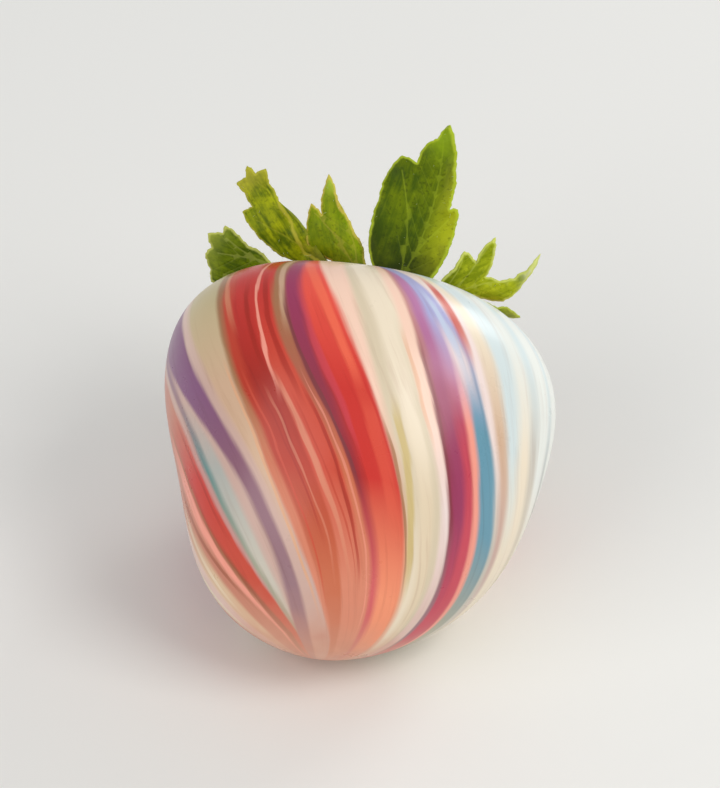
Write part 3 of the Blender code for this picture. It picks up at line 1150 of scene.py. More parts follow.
@dataclass(frozen=True)
class LeafFinish:
    """A fresh calyx leaf: green, darker at the base, with pale veins, margin and tip, and on some leaves painted
    light that lightens the right side.

    Attributes:
        name: the material's name.
        body: main green.
        light: the lighter green that mottles it.
        base: the dark green near the disc.
        margin: colour of the thin edge.
        tip: colour of the tip.
        tip_from: share of the length where the tip's colour begins.
        right: the lighter colour that the right side turns to, painted light from the key light on the right.
        lit_right_strength: how strongly that painted light on the right side shows.
    """

    name: str
    body: Colour = linear(82, 106, 0)
    light: Colour = linear(138, 156, 10)
    base: Colour = linear(46, 60, 0)
    margin: Colour = linear(186, 198, 70)
    tip: Colour = linear(170, 184, 70)
    tip_from: float = 0.85
    # Painted light: the lit colour that the right side turns to.
    right: Colour = linear(150, 180, 40)
    lit_right_strength: float = 0.0

    def material(self) -> bpy.types.Material:
        """Build the material.

        Returns:
            The material.
        """
        material, tree, shader = new_material(self.name)
        edge, vein, along, across = (self._attribute(tree, name) for name in LEAF_FIELDS)
        place = tree.node("ShaderNodeTexCoord").outputs["Object"]
        mottle = tree.noise(place, 420.0, 3.0, 0.6)
        speckle = tree.noise(place, 2600.0, 2.0, 0.6)
        fibre = tree.noise(tree.vector(across * 7, along * 2.2, edge * 0.3), 1.0, 3.0, 0.65)
        colour = tree.mix(self.body, self.light, ((mottle + fibre) * 2.6 + 0.4).most(0.0).least(1.0))
        # Painted light: the right side is lightened as if lit by the key light from the right.
        colour = tree.mix(colour, self.right, across.smooth(0.1, 0.9) * self.lit_right_strength)
        colour = tree.mix(colour, self.base, (along + mottle * 0.2).smooth(0.42, 0.02) * 0.85)
        colour = tree.mix(colour, self.base, (speckle + fibre * 0.5).smooth(0.03, 0.22) * 0.4)
        colour = tree.mix(colour, self.margin, vein.smooth(0.13, 0.02) * 0.2)
        pale = (along + mottle * 0.15).smooth(self.tip_from - 0.12, self.tip_from + 0.12)
        colour = tree.mix(colour, self.tip, pale * 0.9)
        colour = tree.mix(colour, self.margin, (edge + mottle * 0.4).smooth(0.32, 0.06) * 0.8)
        height = vein.smooth(0.0, 0.3) * 0.5 + mottle * 0.6 + speckle * 0.25
        bump = tree.node("ShaderNodeBump", None, {"Strength": 0.35, "Distance": 0.2 * MM, "Height": height})
        inputs = {
            "Base Color": colour,
            "Roughness": mottle * 0.2 + 0.5,
            "Specular IOR Level": 0.12,
            "Normal": bump.outputs[0],
        }
        dress(tree, shader, inputs)
        return material

    @staticmethod
    def _attribute(tree: Tree, name: str) -> Expr:
        """Read one of the leaf's own fields."""
        node = tree.node("ShaderNodeAttribute", {"attribute_type": "GEOMETRY", "attribute_name": name})
        return tree.expr(node, "Fac")


LEAF_FIELDS = ("leaf_edge", "leaf_vein", "leaf_along", "leaf_across")


@dataclass(frozen=True)
class Leaf:
    """One leaf of the calyx.

    Attributes:
        node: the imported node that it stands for.
        outline: its corners in millimetres.
        veins: tips, in millimetres, that its main veins run to.
        finish: its colours.
        base: angle of its foot round the crown, from the front (0) towards the right (90).
        heading: the way it points, counted in the same way.
        elevation: how steeply it rises.
        roll: how far it twists about its length.
        curl: how far it bends outwards along its length.
        cup: how strongly it is cupped across, in 1/m.
        upturn: height by which its right margin turns up, in metres.
        seed: the seed of its small unevenness.
    """

    node: str
    outline: tuple[tuple[float, float], ...]
    veins: tuple[tuple[float, float], ...]
    finish: LeafFinish
    base: float
    heading: float
    elevation: float
    roll: float
    curl: float
    cup: float
    upturn: float = 0.0
    seed: int = 1

    RING = 4.7 * MM
    BASE_HEIGHT = -1.0 * MM
    TWIST_SHARE = 0.6
    THICKNESS = (0.16 * MM, 0.5 * MM)
    THICK_FROM = 1.6 * MM
    EDGE_STEP = 0.26 * MM
    GRID_STEP = 0.38 * MM
    TOOTH_HEIGHT = 0.16 * MM
    TOOTH_PITCH = 1.1 * MM

    def rim(self) -> list[Vector]:
        """Outline the leaf finely, with bowed edges and small teeth.

        Returns:
            Points in metres round the leaf.
        """
        chance = random.Random(self.seed)
        corners = [Vector(corner) * MM for corner in self.outline]
        points = []
        travelled = chance.uniform(0, self.TOOTH_PITCH)
        for start, end in zip(corners, corners[1:]):
            edge = end - start
            steps = max(2, round(edge.length / self.EDGE_STEP))
            outwards = Vector((edge.y, -edge.x)).normalized()
            for i in range(steps):
                share = i / steps
                travelled += edge.length / steps
                bow = 0.24 * edge.length * share * (1 - share)
                phase = travelled / self.TOOTH_PITCH % 1
                away = min(1.0, max(0.0, (start.y + edge.y * share - 1.5 * MM) / (2 * MM)))
                tooth = self.TOOTH_HEIGHT * (phase - 0.5) * away * chance.uniform(0.5, 1.2)
                soft = min(1.0, 4 * share, 4 * (1 - share)) if 0 < i else 0.0
                points.append(start + edge * share + outwards * (bow + tooth * soft))
        points.append(corners[-1])
        return points

    def vein_lines(self, rim: Sequence[Vector]) -> list[list[Vector]]:
        """Trace the main veins and their side branches.

        Args:
            rim: the leaf's outline.

        Returns:
            Lines of points in metres, all of them inside the leaf.
        """
        root = (rim[0] + rim[-1]) / 2 + Vector((0, 0.4 * MM))
        lines = []
        for tip in self.veins:
            end = Vector(tip) * MM
            way = end - root
            side = Vector((way.y, -way.x)) * (0.06 if way.x < 0 else -0.06)
            steps = max(4, round(way.length / self.GRID_STEP))
            lines.append([
                root + way * (0.93 * i / steps) + side * math.sin(math.pi * i / steps)
                for i in range(steps + 1)
            ])
        spine = lines[0]
        for i in range(4, len(spine) - 4, 5):
            for hand in (-1, 1):
                lines.append(self._branch(spine[i], spine[i + 1] - spine[i], hand, rim))
        return [line for line in lines if len(line) > 2]

    def _branch(
        self, start: Vector, way: Vector, hand: int, rim: Sequence[Vector]
    ) -> list[Vector]:
        """Run a side vein from the spine towards the margin."""
        lean = math.radians(38) * hand
        turned = Vector((
            way.x * math.cos(lean) + way.y * math.sin(lean),
            -way.x * math.sin(lean) + way.y * math.cos(lean),
        )).normalized()
        line = [start]
        for i in range(1, 12):
            point = start + turned * (i * self.GRID_STEP)
            if not is_inside(point, rim, 0.35 * MM):
                break
            line.append(point)
        return line

    def flat(self) -> tuple[np.ndarray, list[list[int]], dict[str, np.ndarray]]:
        """Fill the outline with a fine net that follows the veins.

        Returns:
            Points (across, along), triangles, and the leaf's fields at the points.
        """
        rim = self.rim()
        veins = self.vein_lines(rim)
        points = list(rim)
        edges = []
        for line in veins:
            first = len(points)
            points += line
            edges += [(first + i, first + i + 1) for i in range(len(line) - 1)]
        taken = np.array([tuple(point) for point in points])
        left, right = min(p.x for p in rim), max(p.x for p in rim)
        top = max(p.y for p in rim)
        for row in range(1, int(top / self.GRID_STEP / 0.87) + 1):
            for column in range(int((right - left) / self.GRID_STEP) + 2):
                point = Vector((
                    left + self.GRID_STEP * (column - 0.5 * (row % 2)),
                    row * self.GRID_STEP * 0.87,
                ))
                apart = np.hypot(*(taken - np.array(point)).T).min()
                if apart > self.GRID_STEP * 0.55 and is_inside(point, rim, self.GRID_STEP * 0.5):
                    points.append(point)
        ring = list(range(len(rim)))
        filled, _, faces, *_ = delaunay_2d_cdt(points, edges, [ring], 1, 1e-7)
        flat = np.array([tuple(point) for point in filled])
        return flat, [list(face) for face in faces], self._fields(flat, rim, veins)

    def _fields(
        self, flat: np.ndarray, rim: Sequence[Vector], veins: Sequence[Sequence[Vector]]
    ) -> dict[str, np.ndarray]:
        """Measure how far each point is from the edge and the veins, in millimetres, and how far along it is."""
        edge = distance_to_lines(flat, [[*rim, rim[0]]]) / MM
        edge = np.where(flat[:, 1] < 0.3 * MM, 1.0, edge)
        vein = distance_to_lines(flat, veins[: len(self.veins)]) / MM
        branch = distance_to_lines(flat, veins[len(self.veins):]) / MM + 0.07
        middle = flat[:, 0].mean()
        reach = np.abs(flat[:, 0] - middle).max()
        return {
            "leaf_edge": edge,
            "leaf_vein": np.minimum(vein, branch),
            "leaf_along": flat[:, 1] / flat[:, 1].max(),
            "leaf_across": (flat[:, 0] - middle) / reach,
        }

    def bent(self, flat: np.ndarray, fields: dict[str, np.ndarray]) -> np.ndarray:
        """Lay the flat points on the twisted, curled, cupped and ruffled leaf.

        Args:
            flat: points (across, along) in metres.
            fields: the leaf's fields.

        Returns:
            Points in the leaf's own frame: across, along and out of its outer face.
        """
        length = flat[:, 1].max()
        middle = flat[:, 0].mean()
        x, y = flat[:, 0], flat[:, 1]
        twist = math.radians(self.roll) * np.minimum(1.0, y / (self.TWIST_SHARE * length))
        bend = math.radians(self.curl) / length
        turn = bend * y
        spine = np.stack([0 * y, np.sin(turn) / bend, (1 - np.cos(turn)) / bend], 1)
        across = np.stack([np.cos(twist), 0 * y, np.sin(twist)], 1)
        out = np.stack([-np.sin(twist), -np.sin(turn), np.cos(twist) * np.cos(turn)], 1)
        edge = fields["leaf_edge"] * MM
        near = np.clip(1 - edge / (1.5 * MM), 0, 1) ** 2 * np.clip(y / (3 * MM), 0, 1)
        ruffle = 0.22 * MM * np.sin(y / (0.62 * MM) + 3.0 * np.sign(x - middle) + self.seed) * near
        upturn = self.upturn * near * (x > middle)
        lift = -self.cup * (x - middle) ** 2 + ruffle + upturn
        return spine + across * x[:, None] + out * lift[:, None]

    def frame(self) -> Matrix:
        """The leaf's own frame in the berry's: across it, along it and out of its outer face."""
        base, heading, rise = (math.radians(a) for a in (self.base, self.heading, self.elevation))
        level = math.cos(rise)
        along = Vector((level * math.sin(heading), -level * math.cos(heading), math.sin(rise)))
        across = Vector((math.cos(heading), math.sin(heading), 0))
        matrix = Matrix((across, along, across.cross(along))).transposed().to_4x4()
        matrix.translation = (self.RING * math.sin(base), -self.RING * math.cos(base), self.BASE_HEIGHT)
        return matrix

    def mesh(self, lay: Lay) -> bpy.types.Mesh:
        """Make the leaf's closed mesh in the row frame, with its fields as attributes.

        Args:
            lay: how the berry lies.

        Returns:
            The mesh.
        """
        flat, faces, fields = self.flat()
        middle = self.bent(flat, fields)
        normals = vertex_normals(middle, faces)
        thin, thick = self.THICKNESS
        share = np.clip(fields["leaf_edge"] * MM / self.THICK_FROM, 0, 1)
        half = (thin + (thick - thin) * share * (2 - share)) / 2
        ridge = 0.05 * MM * np.clip(1 - fields["leaf_vein"] / 0.28, 0, 1)
        upper = middle + normals * (half + ridge)[:, None]
        lower = middle - normals * half[:, None]
        count = len(flat)
        rim_edges = open_edges(faces)
        skin = [tuple(face) for face in faces]
        skin += [tuple(count + i for i in reversed(face)) for face in faces]
        skin += [(b, a, count + a, count + b) for a, b in rim_edges]
        mesh = bpy.data.meshes.new(self.node + "_fine")
        mesh.from_pydata([tuple(p) for p in np.vstack([upper, lower])], [], skin)
        for name, values in fields.items():
            attribute = mesh.attributes.new(name, "FLOAT", "POINT")
            attribute.data.foreach_set("value", np.tile(values, 2).astype(np.float32))
        mesh.transform(lay.matrix @ self.frame())
        mesh.shade_smooth()
        mesh.materials.append(self.finish.material())
        return mesh

    def build(self, lay: Lay) -> bpy.types.Object:
        """Make the leaf as a piece."""
        name = "leaf_" + self.node.rsplit("_", maxsplit=1)[-1]
        return add_piece(name, self.mesh(lay), "leaf_green", self.node)


def is_inside(point: Vector, outline: Sequence[Vector], margin: float) -> bool:
    """Say whether a point is inside a closed outline and clear of it.

    Args:
        point: the point.
        outline: the outline's points in order.
        margin: how far it has to be from the outline.

    Returns:
        True if it is.
    """
    starts = np.array([tuple(p) for p in outline])
    ends = np.roll(starts, -1, axis=0)
    if distance_to_lines(np.array([tuple(point)]), [[*outline, outline[0]]])[0] < margin:
        return False
    spans = (starts[:, 1] > point.y) != (ends[:, 1] > point.y)
    rise = np.where(spans, ends[:, 1] - starts[:, 1], 1.0)
    cross = starts[:, 0] + (ends[:, 0] - starts[:, 0]) * (point.y - starts[:, 1]) / rise
    return int((spans & (cross > point.x)).sum()) % 2 == 1


def distance_to_lines(points: np.ndarray, lines: Iterable[Sequence[Vector]]) -> np.ndarray:
    """Measure the distance from points to the nearest of some lines.

    Args:
        points: rows of X and Y.
        lines: each a list of points.

    Returns:
        One distance for each point.
    """
    nearest = np.full(len(points), 1.0)
    for line in lines:
        for start, end in zip(line, line[1:]):
            a, b = np.array(start), np.array(end)
            way = b - a
            share = np.clip((points - a) @ way / max(way @ way, 1e-18), 0, 1)
            nearest = np.minimum(nearest, np.hypot(*(points - a - share[:, None] * way).T))
    return nearest


def vertex_normals(points: np.ndarray, faces: Sequence[Sequence[int]]) -> np.ndarray:
    """Work out smooth normals of a net of triangles.

    Args:
        points: rows of X, Y and Z.
        faces: triangles.

    Returns:
        One unit normal for each point.
    """
    corners = np.array(faces)
    a, b, c = (points[corners[:, i]] for i in range(3))
    flat = np.cross(b - a, c - a)
    normals = np.zeros_like(points)
    for i in range(3):
        np.add.at(normals, corners[:, i], flat)
    return normals / np.maximum(np.linalg.norm(normals, axis=1, keepdims=True), 1e-18)


def open_edges(faces: Sequence[Sequence[int]]) -> list[tuple[int, int]]:
    """Find the edges that only one face has.

    Args:
        faces: lists of corner numbers.

    Returns:
        Edges, in the direction that their face runs.
    """
    sides = {(face[i], face[(i + 1) % len(face)]) for face in faces for i in range(len(face))}
    return sorted(side for side in sides if (side[1], side[0]) not in sides)


DARK_LEAF = LeafFinish(
    "leaf_dark",
    body=linear(68, 88, 0),
    light=linear(112, 130, 0),
    margin=linear(200, 204, 104),
    tip=linear(160, 172, 70),
    tip_from=0.94,
)
DRY_TIPPED_LEAF = LeafFinish(
    "leaf_dry_tipped",
    body=linear(84, 104, 0),
    light=linear(164, 174, 12),
    margin=linear(190, 186, 60),
    tip=linear(186, 178, 56),
    tip_from=0.9,
)
PAINTED_LIT_SIDE_LEAF = LeafFinish(
    "leaf_painted_lit_side",
    body=linear(108, 132, 0),
    light=linear(148, 166, 8),
    margin=linear(214, 196, 84),
    tip=linear(176, 200, 70),
    tip_from=0.88,
    # Painted light: the right side is lightened where the key light falls.
    right=linear(154, 180, 4),
    lit_right_strength=0.9,
)
LARGE_LEAF = LeafFinish(
    "leaf_large",
    body=linear(64, 86, 0),
    light=linear(106, 124, 0),
    base=linear(32, 42, 0),
    margin=linear(182, 200, 50),
    tip=linear(140, 168, 20),
    tip_from=0.84,
    # Painted light: the right side is lightened where the key light falls.
    right=linear(180, 188, 28),
    lit_right_strength=0.85,
)
YOUNG_LEAF = LeafFinish(
    "leaf_young",
    body=linear(126, 142, 4),
    light=linear(180, 190, 32),
    base=linear(72, 90, 2),
    margin=linear(214, 222, 110),
    tip=linear(236, 238, 204),
    tip_from=0.84,
)
PLAIN_LEAF = LeafFinish("leaf_plain")

LEAVES = (
    Leaf("sepal_01", BLUNT, ((-0.9, 15.9), (1.2, 15.6), (-3.6, 14.2)), DARK_LEAF,
         -100, -80, 15, -42, 6, 20, seed=3),
    Leaf("sepal_02", FORKED, ((-1.7, 16.4), (-4.2, 12.6)), DRY_TIPPED_LEAF,
         -66, -60, 38, -42, -6, 20, seed=5),
    Leaf("sepal_03", TOOTHED, ((-2.1, 12.0), (-4.4, 9.0)), PAINTED_LIT_SIDE_LEAF,
         -29, -34, 58, -20, -6, 20, seed=8),
    Leaf("sepal_04", BROAD, ((-0.6, 18.2), (-4.0, 13.2), (3.2, 9.6)), LARGE_LEAF,
         22, 26, 64, 12, 4, 20, upturn=0.9 * MM, seed=2),
    Leaf("sepal_05", THREE_LOBED, ((1.6, 11.4), (-3.6, 9.5), (-3.6, 6.0)), YOUNG_LEAF,
         72, 84, 28, 45, -6, 20, seed=9),
    Leaf("sepal_06", lance(12.5, 4.2, 3), ((0.0, 12.0),), PLAIN_LEAF, 114, 126, 30, 8, 14, 30, seed=4),
    Leaf("sepal_07", lance(15.5, 4.6, 3), ((0.0, 15.0),), PLAIN_LEAF, 145, 149, 50, -6, 20, 25, seed=6),
    Leaf("sepal_08", lance(13.0, 4.2, 2), ((0.0, 12.5),), PLAIN_LEAF, 173, 176, 26, -8, 16, 30, seed=7),
    Leaf("sepal_09", lance(15.0, 4.6, 3), ((0.0, 14.5),), PLAIN_LEAF, 202, 206, 48, 6, 18, 30, seed=10),
    Leaf("sepal_10", lance(12.5, 4.2, 2), ((0.0, 12.0),), PLAIN_LEAF, 231, 235, 28, 10, 12, 30, seed=12),
)


@dataclass(frozen=True)
class StalkFinish:
    """Pale green tissue of the disc and the stub, browned on the cut.

    Attributes:
        green: colour of the disc.
        pale: the paler green of the stub.
        cut: colour of the stub's dry cut end.
    """

    green: Colour = linear(120, 148, 50)
    pale: Colour = linear(176, 190, 110)
    cut: Colour = linear(150, 118, 70)

    def material(self, lay: Lay, top: float) -> bpy.types.Material:
        """Build the material.

        Args:
            lay: how the berry lies.
            top: height of the cut end in the berry's own frame.

        Returns:
            The material.
        """
        material, tree, shader = new_material("stalk_pale_green")
        own = lay.own_place(tree)
        x, y, z = tree.split(own)
        turn = y.atan2(x)
        fibre = tree.noise(tree.vector(turn.cos() * 4, turn.sin() * 4, z * 300), 3.0, 2.0)
        grain = tree.noise(own, 1500.0, 3.0)
        colour = tree.mix(self.green, self.pale, z.smooth(top - 2.4 * MM, top - 0.6 * MM))
        colour = tree.mix(colour, self.cut, (z + grain * (0.3 * MM)).smooth(top - 0.25 * MM, top - 0.02 * MM))
        colour = tree.mix(colour, self.pale, fibre.smooth(0.0, 0.25) * 0.5)
        height = fibre * 0.6 + grain * 0.4
        bump = tree.node("ShaderNodeBump", None, {"Strength": 0.4, "Distance": 0.15 * MM, "Height": height})
        inputs = {
            "Base Color": colour,
            "Roughness": grain * 0.2 + 0.55,
            "Normal": bump.outputs[0],
        }
        dress(tree, shader, inputs)
        return material


@dataclass(frozen=True)
class CalyxDisc:
    """The disc that the leaves grow from, and the stub of the stalk.

    Attributes:
        radius: the disc's radius.
        thickness: its thickness.
        gap: its clearance over the fruit.
        stub_radius: radius of the stub at its foot.
        stub_height: height of the stub above the disc.
        segments: points round it.
        steps: rings on each face of the disc.
    """

    radius: float = 4.05 * MM
    thickness: float = 0.95 * MM
    gap: float = 0.4 * MM
    stub_radius: float = 1.3 * MM
    stub_height: float = 2.4 * MM
    segments: int = 96
    steps: int = 12

    STUB = ((1.5, 0.03), (1.12, 0.14), (1.0, 0.35), (0.92, 0.55), (0.84, 0.8), (0.88, 0.95), (0.8, 1.0))

    def top(self) -> float:
        """Height of the cut end in the berry's own frame."""
        return self._floor(0.0) + self.thickness + self.stub_height

    def _floor(self, radius: float) -> float:
        """Height of the disc's underside at a radius, which follows the dimple."""
        berry = CoatedBerry()
        dip = berry.dimple_depth * math.exp(-((radius / berry.dimple_radius) ** 2))
        share = radius * 2 / berry.width
        level = math.asin(share ** (berry.shoulder_power / 2))
        rise = math.cos(level) ** (2 / berry.shoulder_power)
        return -berry.widest_depth * (1 - rise) - dip + self.gap

    def _profile(self) -> list[tuple[float, float]]:
        """Radii and heights from the middle of the underside to the middle of the cut."""
        under = [self.radius * i / self.steps for i in range(self.steps + 1)]
        line = [(radius, self._floor(radius)) for radius in under]
        rim = line[-1]
        line.append((rim[0] + 0.05 * MM, rim[1] + self.thickness * 0.5))
        for radius in reversed(under[3:]):
            line.append((radius, self._floor(radius) + self.thickness))
        foot = self._floor(0.0) + self.thickness
        for width, share in self.STUB:
            line.append((self.stub_radius * width, foot + self.stub_height * share))
        line.append((0.0, foot + self.stub_height * 0.97))
        return line

    def build(self, lay: Lay) -> bpy.types.Object:
        """Make the disc as a piece.

        Args:
            lay: how the berry lies.

        Returns:
            The piece.
        """
        profile = self._profile()
        shape = bmesh.new()
        first = shape.verts.new((0, 0, profile[0][1]))
        last = shape.verts.new((0, 0, profile[-1][1]))
        rings = []
        for number, (radius, height) in enumerate(profile[1:-1]):
            on_stub = number > 2 * self.steps - 3
            rings.append([
                shape.verts.new(self._ring_point(radius, height, i, on_stub))
                for i in range(self.segments)
            ])
        for i in range(self.segments):
            j = (i + 1) % self.segments
            shape.faces.new((first, rings[0][i], rings[0][j]))
            shape.faces.new((last, rings[-1][j], rings[-1][i]))
            for lower, upper in zip(rings, rings[1:]):
                shape.faces.new((lower[i], upper[i], upper[j], lower[j]))
        bmesh.ops.recalc_face_normals(shape, faces=shape.faces)
        mesh = bpy.data.meshes.new("calyx_disc_fine")
        shape.to_mesh(mesh)
        shape.free()
        mesh.transform(lay.matrix)
        mesh.shade_smooth()
        mesh.materials.append(StalkFinish().material(lay, self.top()))
        return add_piece("disc_and_stub", mesh, "stalk_pale_green", "calyx_disc")

    def _ring_point(self, radius: float, height: float, i: int, on_stub: bool) -> tuple[float, float, float]:
        """One point of a ring, ribbed a little."""
        turn = math.tau * i / self.segments
        ribs = 0.03 * math.cos(turn * 9 + 1.0) if on_stub else 0.012 * math.cos(turn * 10)
        wide = radius * (1 + ribs)
        return wide * math.sin(turn), -wide * math.cos(turn), height


@dataclass(frozen=True)
class LeafHairs:
    """Fine pale hairs over the leaves, thickest along their margins.

    Attributes:
        density: hairs for each square metre of the chosen skin.
        length: a hair's length.
        radius: a hair's radius at its foot.
        seed: the seed of their places.
    """

    density: float = 1.6e6
    length: float = 0.55 * MM
    radius: float = 0.018 * MM
    seed: int = 21

    def sizes(self) -> dict[str, Any]:
        """The geometry tree's named inputs."""
        return {
            "Density": self.density,
            "Hair Length": self.length,
            "Hair Radius": self.radius,
            "Seed": self.seed,
        }

    def _tree(self) -> bpy.types.NodeTree:
        """Build the geometry tree that scatters hairs over the leaves.

        Returns:
            The node group.
        """
        group = bpy.data.node_groups.new("leaf_hairs", "GeometryNodeTree")
        interface = group.interface
        interface.new_socket(name="Geometry", in_out="OUTPUT", socket_type="NodeSocketGeometry")
        interface.new_socket(name="Leaves", in_out="INPUT", socket_type="NodeSocketGeometry")
        for name in ("Density", "Hair Length", "Hair Radius"):
            interface.new_socket(name=name, in_out="INPUT", socket_type="NodeSocketFloat")
        interface.new_socket(name="Seed", in_out="INPUT", socket_type="NodeSocketInt")
        interface.new_socket(name="Finish", in_out="INPUT", socket_type="NodeSocketMaterial")
        tree = Tree(group)
        entry = tree.node("NodeGroupInput")
        edge = self._field(tree, "leaf_edge")
        along = self._field(tree, "leaf_along")
        thick = edge.smooth(0.5, 0.1) * along.smooth(0.1, 0.3) + 0.04
        spots = tree.node(
            "GeometryNodeDistributePointsOnFaces",
            {"distribute_method": "RANDOM"},
            {
                "Mesh": entry.outputs["Leaves"],
                "Density": thick * tree.expr(entry, "Density"),
                "Seed": entry.outputs["Seed"],
            },
        )
        hair = self._hair(tree, entry)
        lean = tree.node(
            "FunctionNodeRandomValue",
            {"data_type": "FLOAT_VECTOR"},
            {"Min": (-0.5, -0.5, 0.0), "Max": (0.5, 0.5, 6.28), "Seed": 3},
        )
        turned = tree.node(
            "FunctionNodeRotateRotation",
            {"rotation_space": "LOCAL"},
            {"Rotation": spots.outputs["Rotation"], "Rotate By": lean.outputs["Value"]},
        )
        grown = tree.node(
            "FunctionNodeRandomValue",
            {"data_type": "FLOAT"},
            {"Min_001": 0.45, "Max_001": 1.15, "Seed": 5},
        )
        placed = tree.node(
            "GeometryNodeInstanceOnPoints",
            None,
            {
                "Points": spots.outputs["Points"],
                "Instance": hair,
                "Rotation": turned.outputs[0],
                "Scale": grown.outputs[1],
            },
        )
        whole = tree.node("GeometryNodeRealizeInstances", None, {"Geometry": placed.outputs[0]})
        dressed = tree.node(
            "GeometryNodeSetMaterial",
            None,
            {"Geometry": whole.outputs[0], "Material": entry.outputs["Finish"]},
        )
        tree.node("NodeGroupOutput", None, {"Geometry": dressed.outputs[0]})
        return group

    @staticmethod
    def _field(tree: Tree, name: str) -> Expr:
        """Read a leaf's field in the geometry tree."""
        node = tree.node("GeometryNodeInputNamedAttribute", {"data_type": "FLOAT"}, {"Name": name})
        return Expr(tree, node.outputs[0])

    @staticmethod
    def _hair(tree: Tree, entry: bpy.types.Node) -> bpy.types.NodeSocket:
        """One bent hair of a few faces, standing on its foot."""
        cone = tree.node(
            "GeometryNodeMeshCone",
            {"fill_type": "NGON"},
            {
                "Vertices": 3,
                "Side Segments": 3,
                "Fill Segments": 1,
                "Radius Top": 0.0,
                "Radius Bottom": entry.outputs["Hair Radius"],
                "Depth": entry.outputs["Hair Length"],
            },
        )
        place = tree.node("GeometryNodeInputPosition").outputs[0]
        x, y, z = tree.split(place)
        length = tree.expr(entry, "Hair Length")
        share = z / length
        bent = tree.vector(x + share * share * length * 0.3, y, z - length * 0.06)
        shape = tree.node("GeometryNodeSetPosition", None, {"Geometry": cone.outputs[0], "Position": bent})
        return shape.outputs[0]

    def build(self, leaves: Sequence[bpy.types.Object]) -> bpy.types.Object:
        """Grow the hairs on all leaves as one piece.

        Args:
            leaves: the leaves' pieces.

        Returns:
            The piece.
        """
        base = joined_mesh("leaves_for_hairs", leaves)
        mesh = mesh_from_tree("leaf_hairs_fine", base, self._tree(), self.sizes())
        mesh.materials.clear()
        mesh.materials.append(self._finish())
        mesh.shade_smooth()
        return add_piece("leaf_hairs", mesh, "leaf_green")

    @staticmethod
    def _finish() -> bpy.types.Material:
        """The hairs' pale finish, greener towards some."""
        material, tree, shader = new_material("hair_pale")
        place = tree.node("ShaderNodeTexCoord").outputs["Object"]
        tint = tree.noise(place, 400.0)
        colour = tree.mix(linear(214, 222, 160), linear(236, 238, 214), tint + 0.5)
        dress(tree, shader, {"Base Color": colour, "Roughness": tint * 0.1 + 0.5})
        return material


def joined_mesh(name: str, pieces: Sequence[bpy.types.Object]) -> bpy.types.Mesh:
    """Copy some pieces' meshes into one mesh, with their fields.

    Args:
        name: the new mesh's name.
        pieces: the pieces, all at the origin.

    Returns:
        The new mesh.
    """
    shape = bmesh.new()
    for piece in pieces:
        shape.from_mesh(piece.data)
    mesh = bpy.data.meshes.new(name)
    shape.to_mesh(mesh)
    shape.free()
    return mesh


@dataclass(frozen=True)
class Calyx:
    """The whole calyx: the disc, its ring of leaves and their hairs."""

    disc: CalyxDisc = CalyxDisc()
    leaves: tuple[Leaf, ...] = LEAVES
    hairs: LeafHairs = LeafHairs()

    def build(self, lay: Lay) -> list[bpy.types.Object]:
        """Make the calyx.

        Args:
            lay: how the berry lies.

        Returns:
            Its pieces.
        """
        made = [leaf.build(lay) for leaf in self.leaves]
        return [self.disc.build(lay), *made, self.hairs.build(made)]


# ---------------------------------------------------------------------------------------------
# Studio
# ---------------------------------------------------------------------------------------------


@dataclass(frozen=True)
class FloorFinish:
    """Plain pale matt floor.

    Attributes:
        colour: its colour.
        roughness: its roughness.
    """

    colour: Colour = linear(240, 239, 236)
    roughness: float = 0.5

    def material(self) -> bpy.types.Material:
        """Build the material."""
        material, tree, shader = new_material("pale_floor")
        place = tree.node("ShaderNodeTexCoord").outputs["Object"]
        cloud = tree.noise(place, 9.0, 2.0)
        colour = tree.mix(self.colour, linear(234, 233, 229), cloud + 0.5)
        dress(tree, shader, {"Base Color": colour, "Roughness": cloud * 0.1 + self.roughness})
        return material


@dataclass(frozen=True)
class SoftLight:
    """A square soft light that faces the berry.

    Attributes:
        name: its name.
        place: where it stands.
        size: its side.
        power: its power in watts.
        colour: its colour.
    """

    name: str
    place: tuple[float, float, float]
    size: float
    power: float
    colour: tuple[float, float, float] = (1.0, 1.0, 1.0)

    def build(self, target: Vector) -> bpy.types.Object:
        """Hang the light, turned to a point.

        Args:
            target: the point that it faces.

        Returns:
            The light.
        """
        data = bpy.data.lights.new(self.name, "AREA")
        data.shape = "SQUARE"
        data.size = self.size
        data.energy = self.power
        data.color = self.colour
        light = bpy.data.objects.new(self.name, data)
        bpy.context.collection.objects.link(light)
        light.location = self.place
        light.rotation_euler = (Vector(self.place) - target).to_track_quat("Z", "Y").to_euler()
        return light


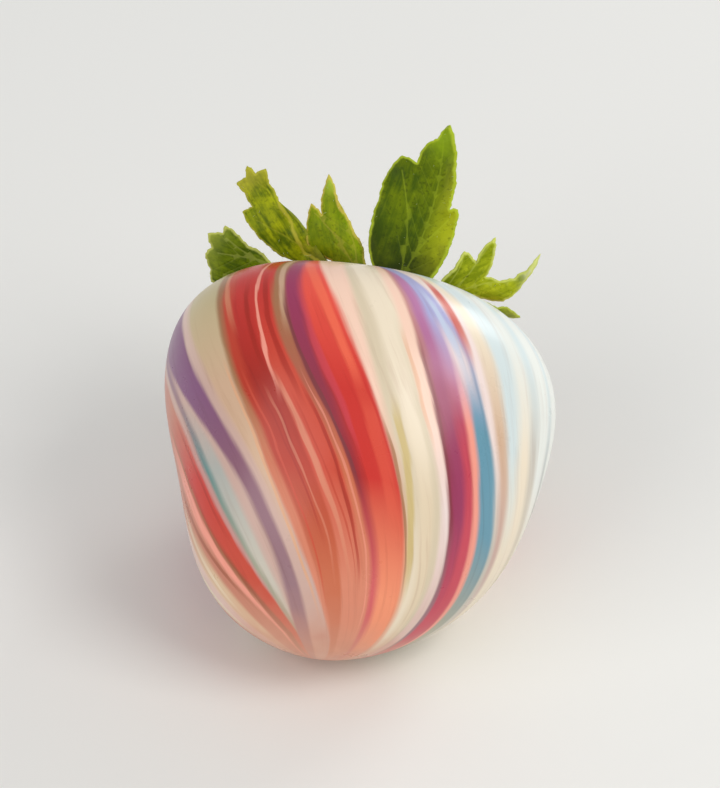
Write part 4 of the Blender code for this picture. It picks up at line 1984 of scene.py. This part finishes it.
@dataclass(frozen=True)
class Studio:
    """Floor, lights and camera.

    Attributes:
        elevation: the camera's height angle.
        distance: how far it stands.
        lens: its focal length in millimetres.
        aim: the point of the berry's own frame that it is aimed from.
        shift: how far to the right of and above that point it is aimed.
        floor_size: side of the floor.
    """

    elevation: float = 40.5
    distance: float = 0.755
    lens: float = 348.0
    aim: tuple[float, float, float] = (0.0, 0.0, -18.4 * MM)
    shift: tuple[float, float] = (0.9 * MM, 5.6 * MM)
    floor_size: float = 3.0

    LIGHTS = (
        SoftLight("key_right", (0.40, -0.22, 0.48), 0.34, 1.8, (1.0, 0.985, 0.96)),
        SoftLight("rim_right", (0.34, 0.36, 0.22), 0.22, 0.8, (1.0, 1.0, 1.0)),
        SoftLight("fill_left", (-0.5, -0.4, 0.38), 0.6, 2.2, (1.0, 0.97, 0.93)),
    )

    def build(self, lay: Lay) -> None:
        """Set up the floor, the lights, the surroundings and the camera.

        Args:
            lay: how the berry lies.
        """
        target = lay.matrix @ Vector(self.aim)
        self._floor()
        for light in self.LIGHTS:
            light.build(target)
        self._surroundings()
        self._camera(target)
        bpy.context.scene.view_settings.view_transform = "Standard"

    def _floor(self) -> None:
        """Lay the floor."""
        half = self.floor_size / 2
        mesh = bpy.data.meshes.new("floor")
        corners = [(-half, -half, 0), (half, -half, 0), (half, half, 0), (-half, half, 0)]
        mesh.from_pydata(corners, [], [(0, 1, 2, 3)])
        mesh.materials.append(FloorFinish().material())
        floor = bpy.data.objects.new("floor", mesh)
        bpy.context.collection.objects.link(floor)

    @staticmethod
    def _surroundings() -> None:
        """Light the whole scene evenly and faintly."""
        world = bpy.data.worlds.new("soft_studio")
        world.use_nodes = True
        background = world.node_tree.nodes["Background"]
        background.inputs["Color"].default_value = (0.94, 0.97, 1.0, 1.0)
        background.inputs["Strength"].default_value = 0.45
        bpy.context.scene.world = world

    def _camera(self, target: Vector) -> None:
        """Stand the camera in front, looking down on the berry."""
        rise = math.radians(self.elevation)
        back = Vector((0, -math.cos(rise), math.sin(rise)))
        up = Vector((0, math.sin(rise), math.cos(rise)))
        centre = target + Vector((self.shift[0], 0, 0)) + up * self.shift[1]
        data = bpy.data.cameras.new("camera")
        data.sensor_fit = "HORIZONTAL"
        data.sensor_width = 36.0
        data.lens = self.lens
        data.clip_start = 0.01
        camera = bpy.data.objects.new("camera", data)
        bpy.context.collection.objects.link(camera)
        camera.location = centre + back * self.distance
        camera.rotation_euler = back.to_track_quat("Z", "Y").to_euler()
        bpy.context.scene.camera = camera


def main() -> None:
    """Build the berry, its calyx and the studio, and report each piece."""
    logging.basicConfig(level=logging.INFO, format="%(name)s: %(message)s")
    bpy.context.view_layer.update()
    berry, lay = CoatedBerry().build()
    pieces = [berry, *Calyx().build(lay)]
    Studio().build(lay)
    for piece in pieces:
        LOG.info("%s: %d faces", piece.name, len(piece.data.polygons))


if __name__ == "__main__":
    main()
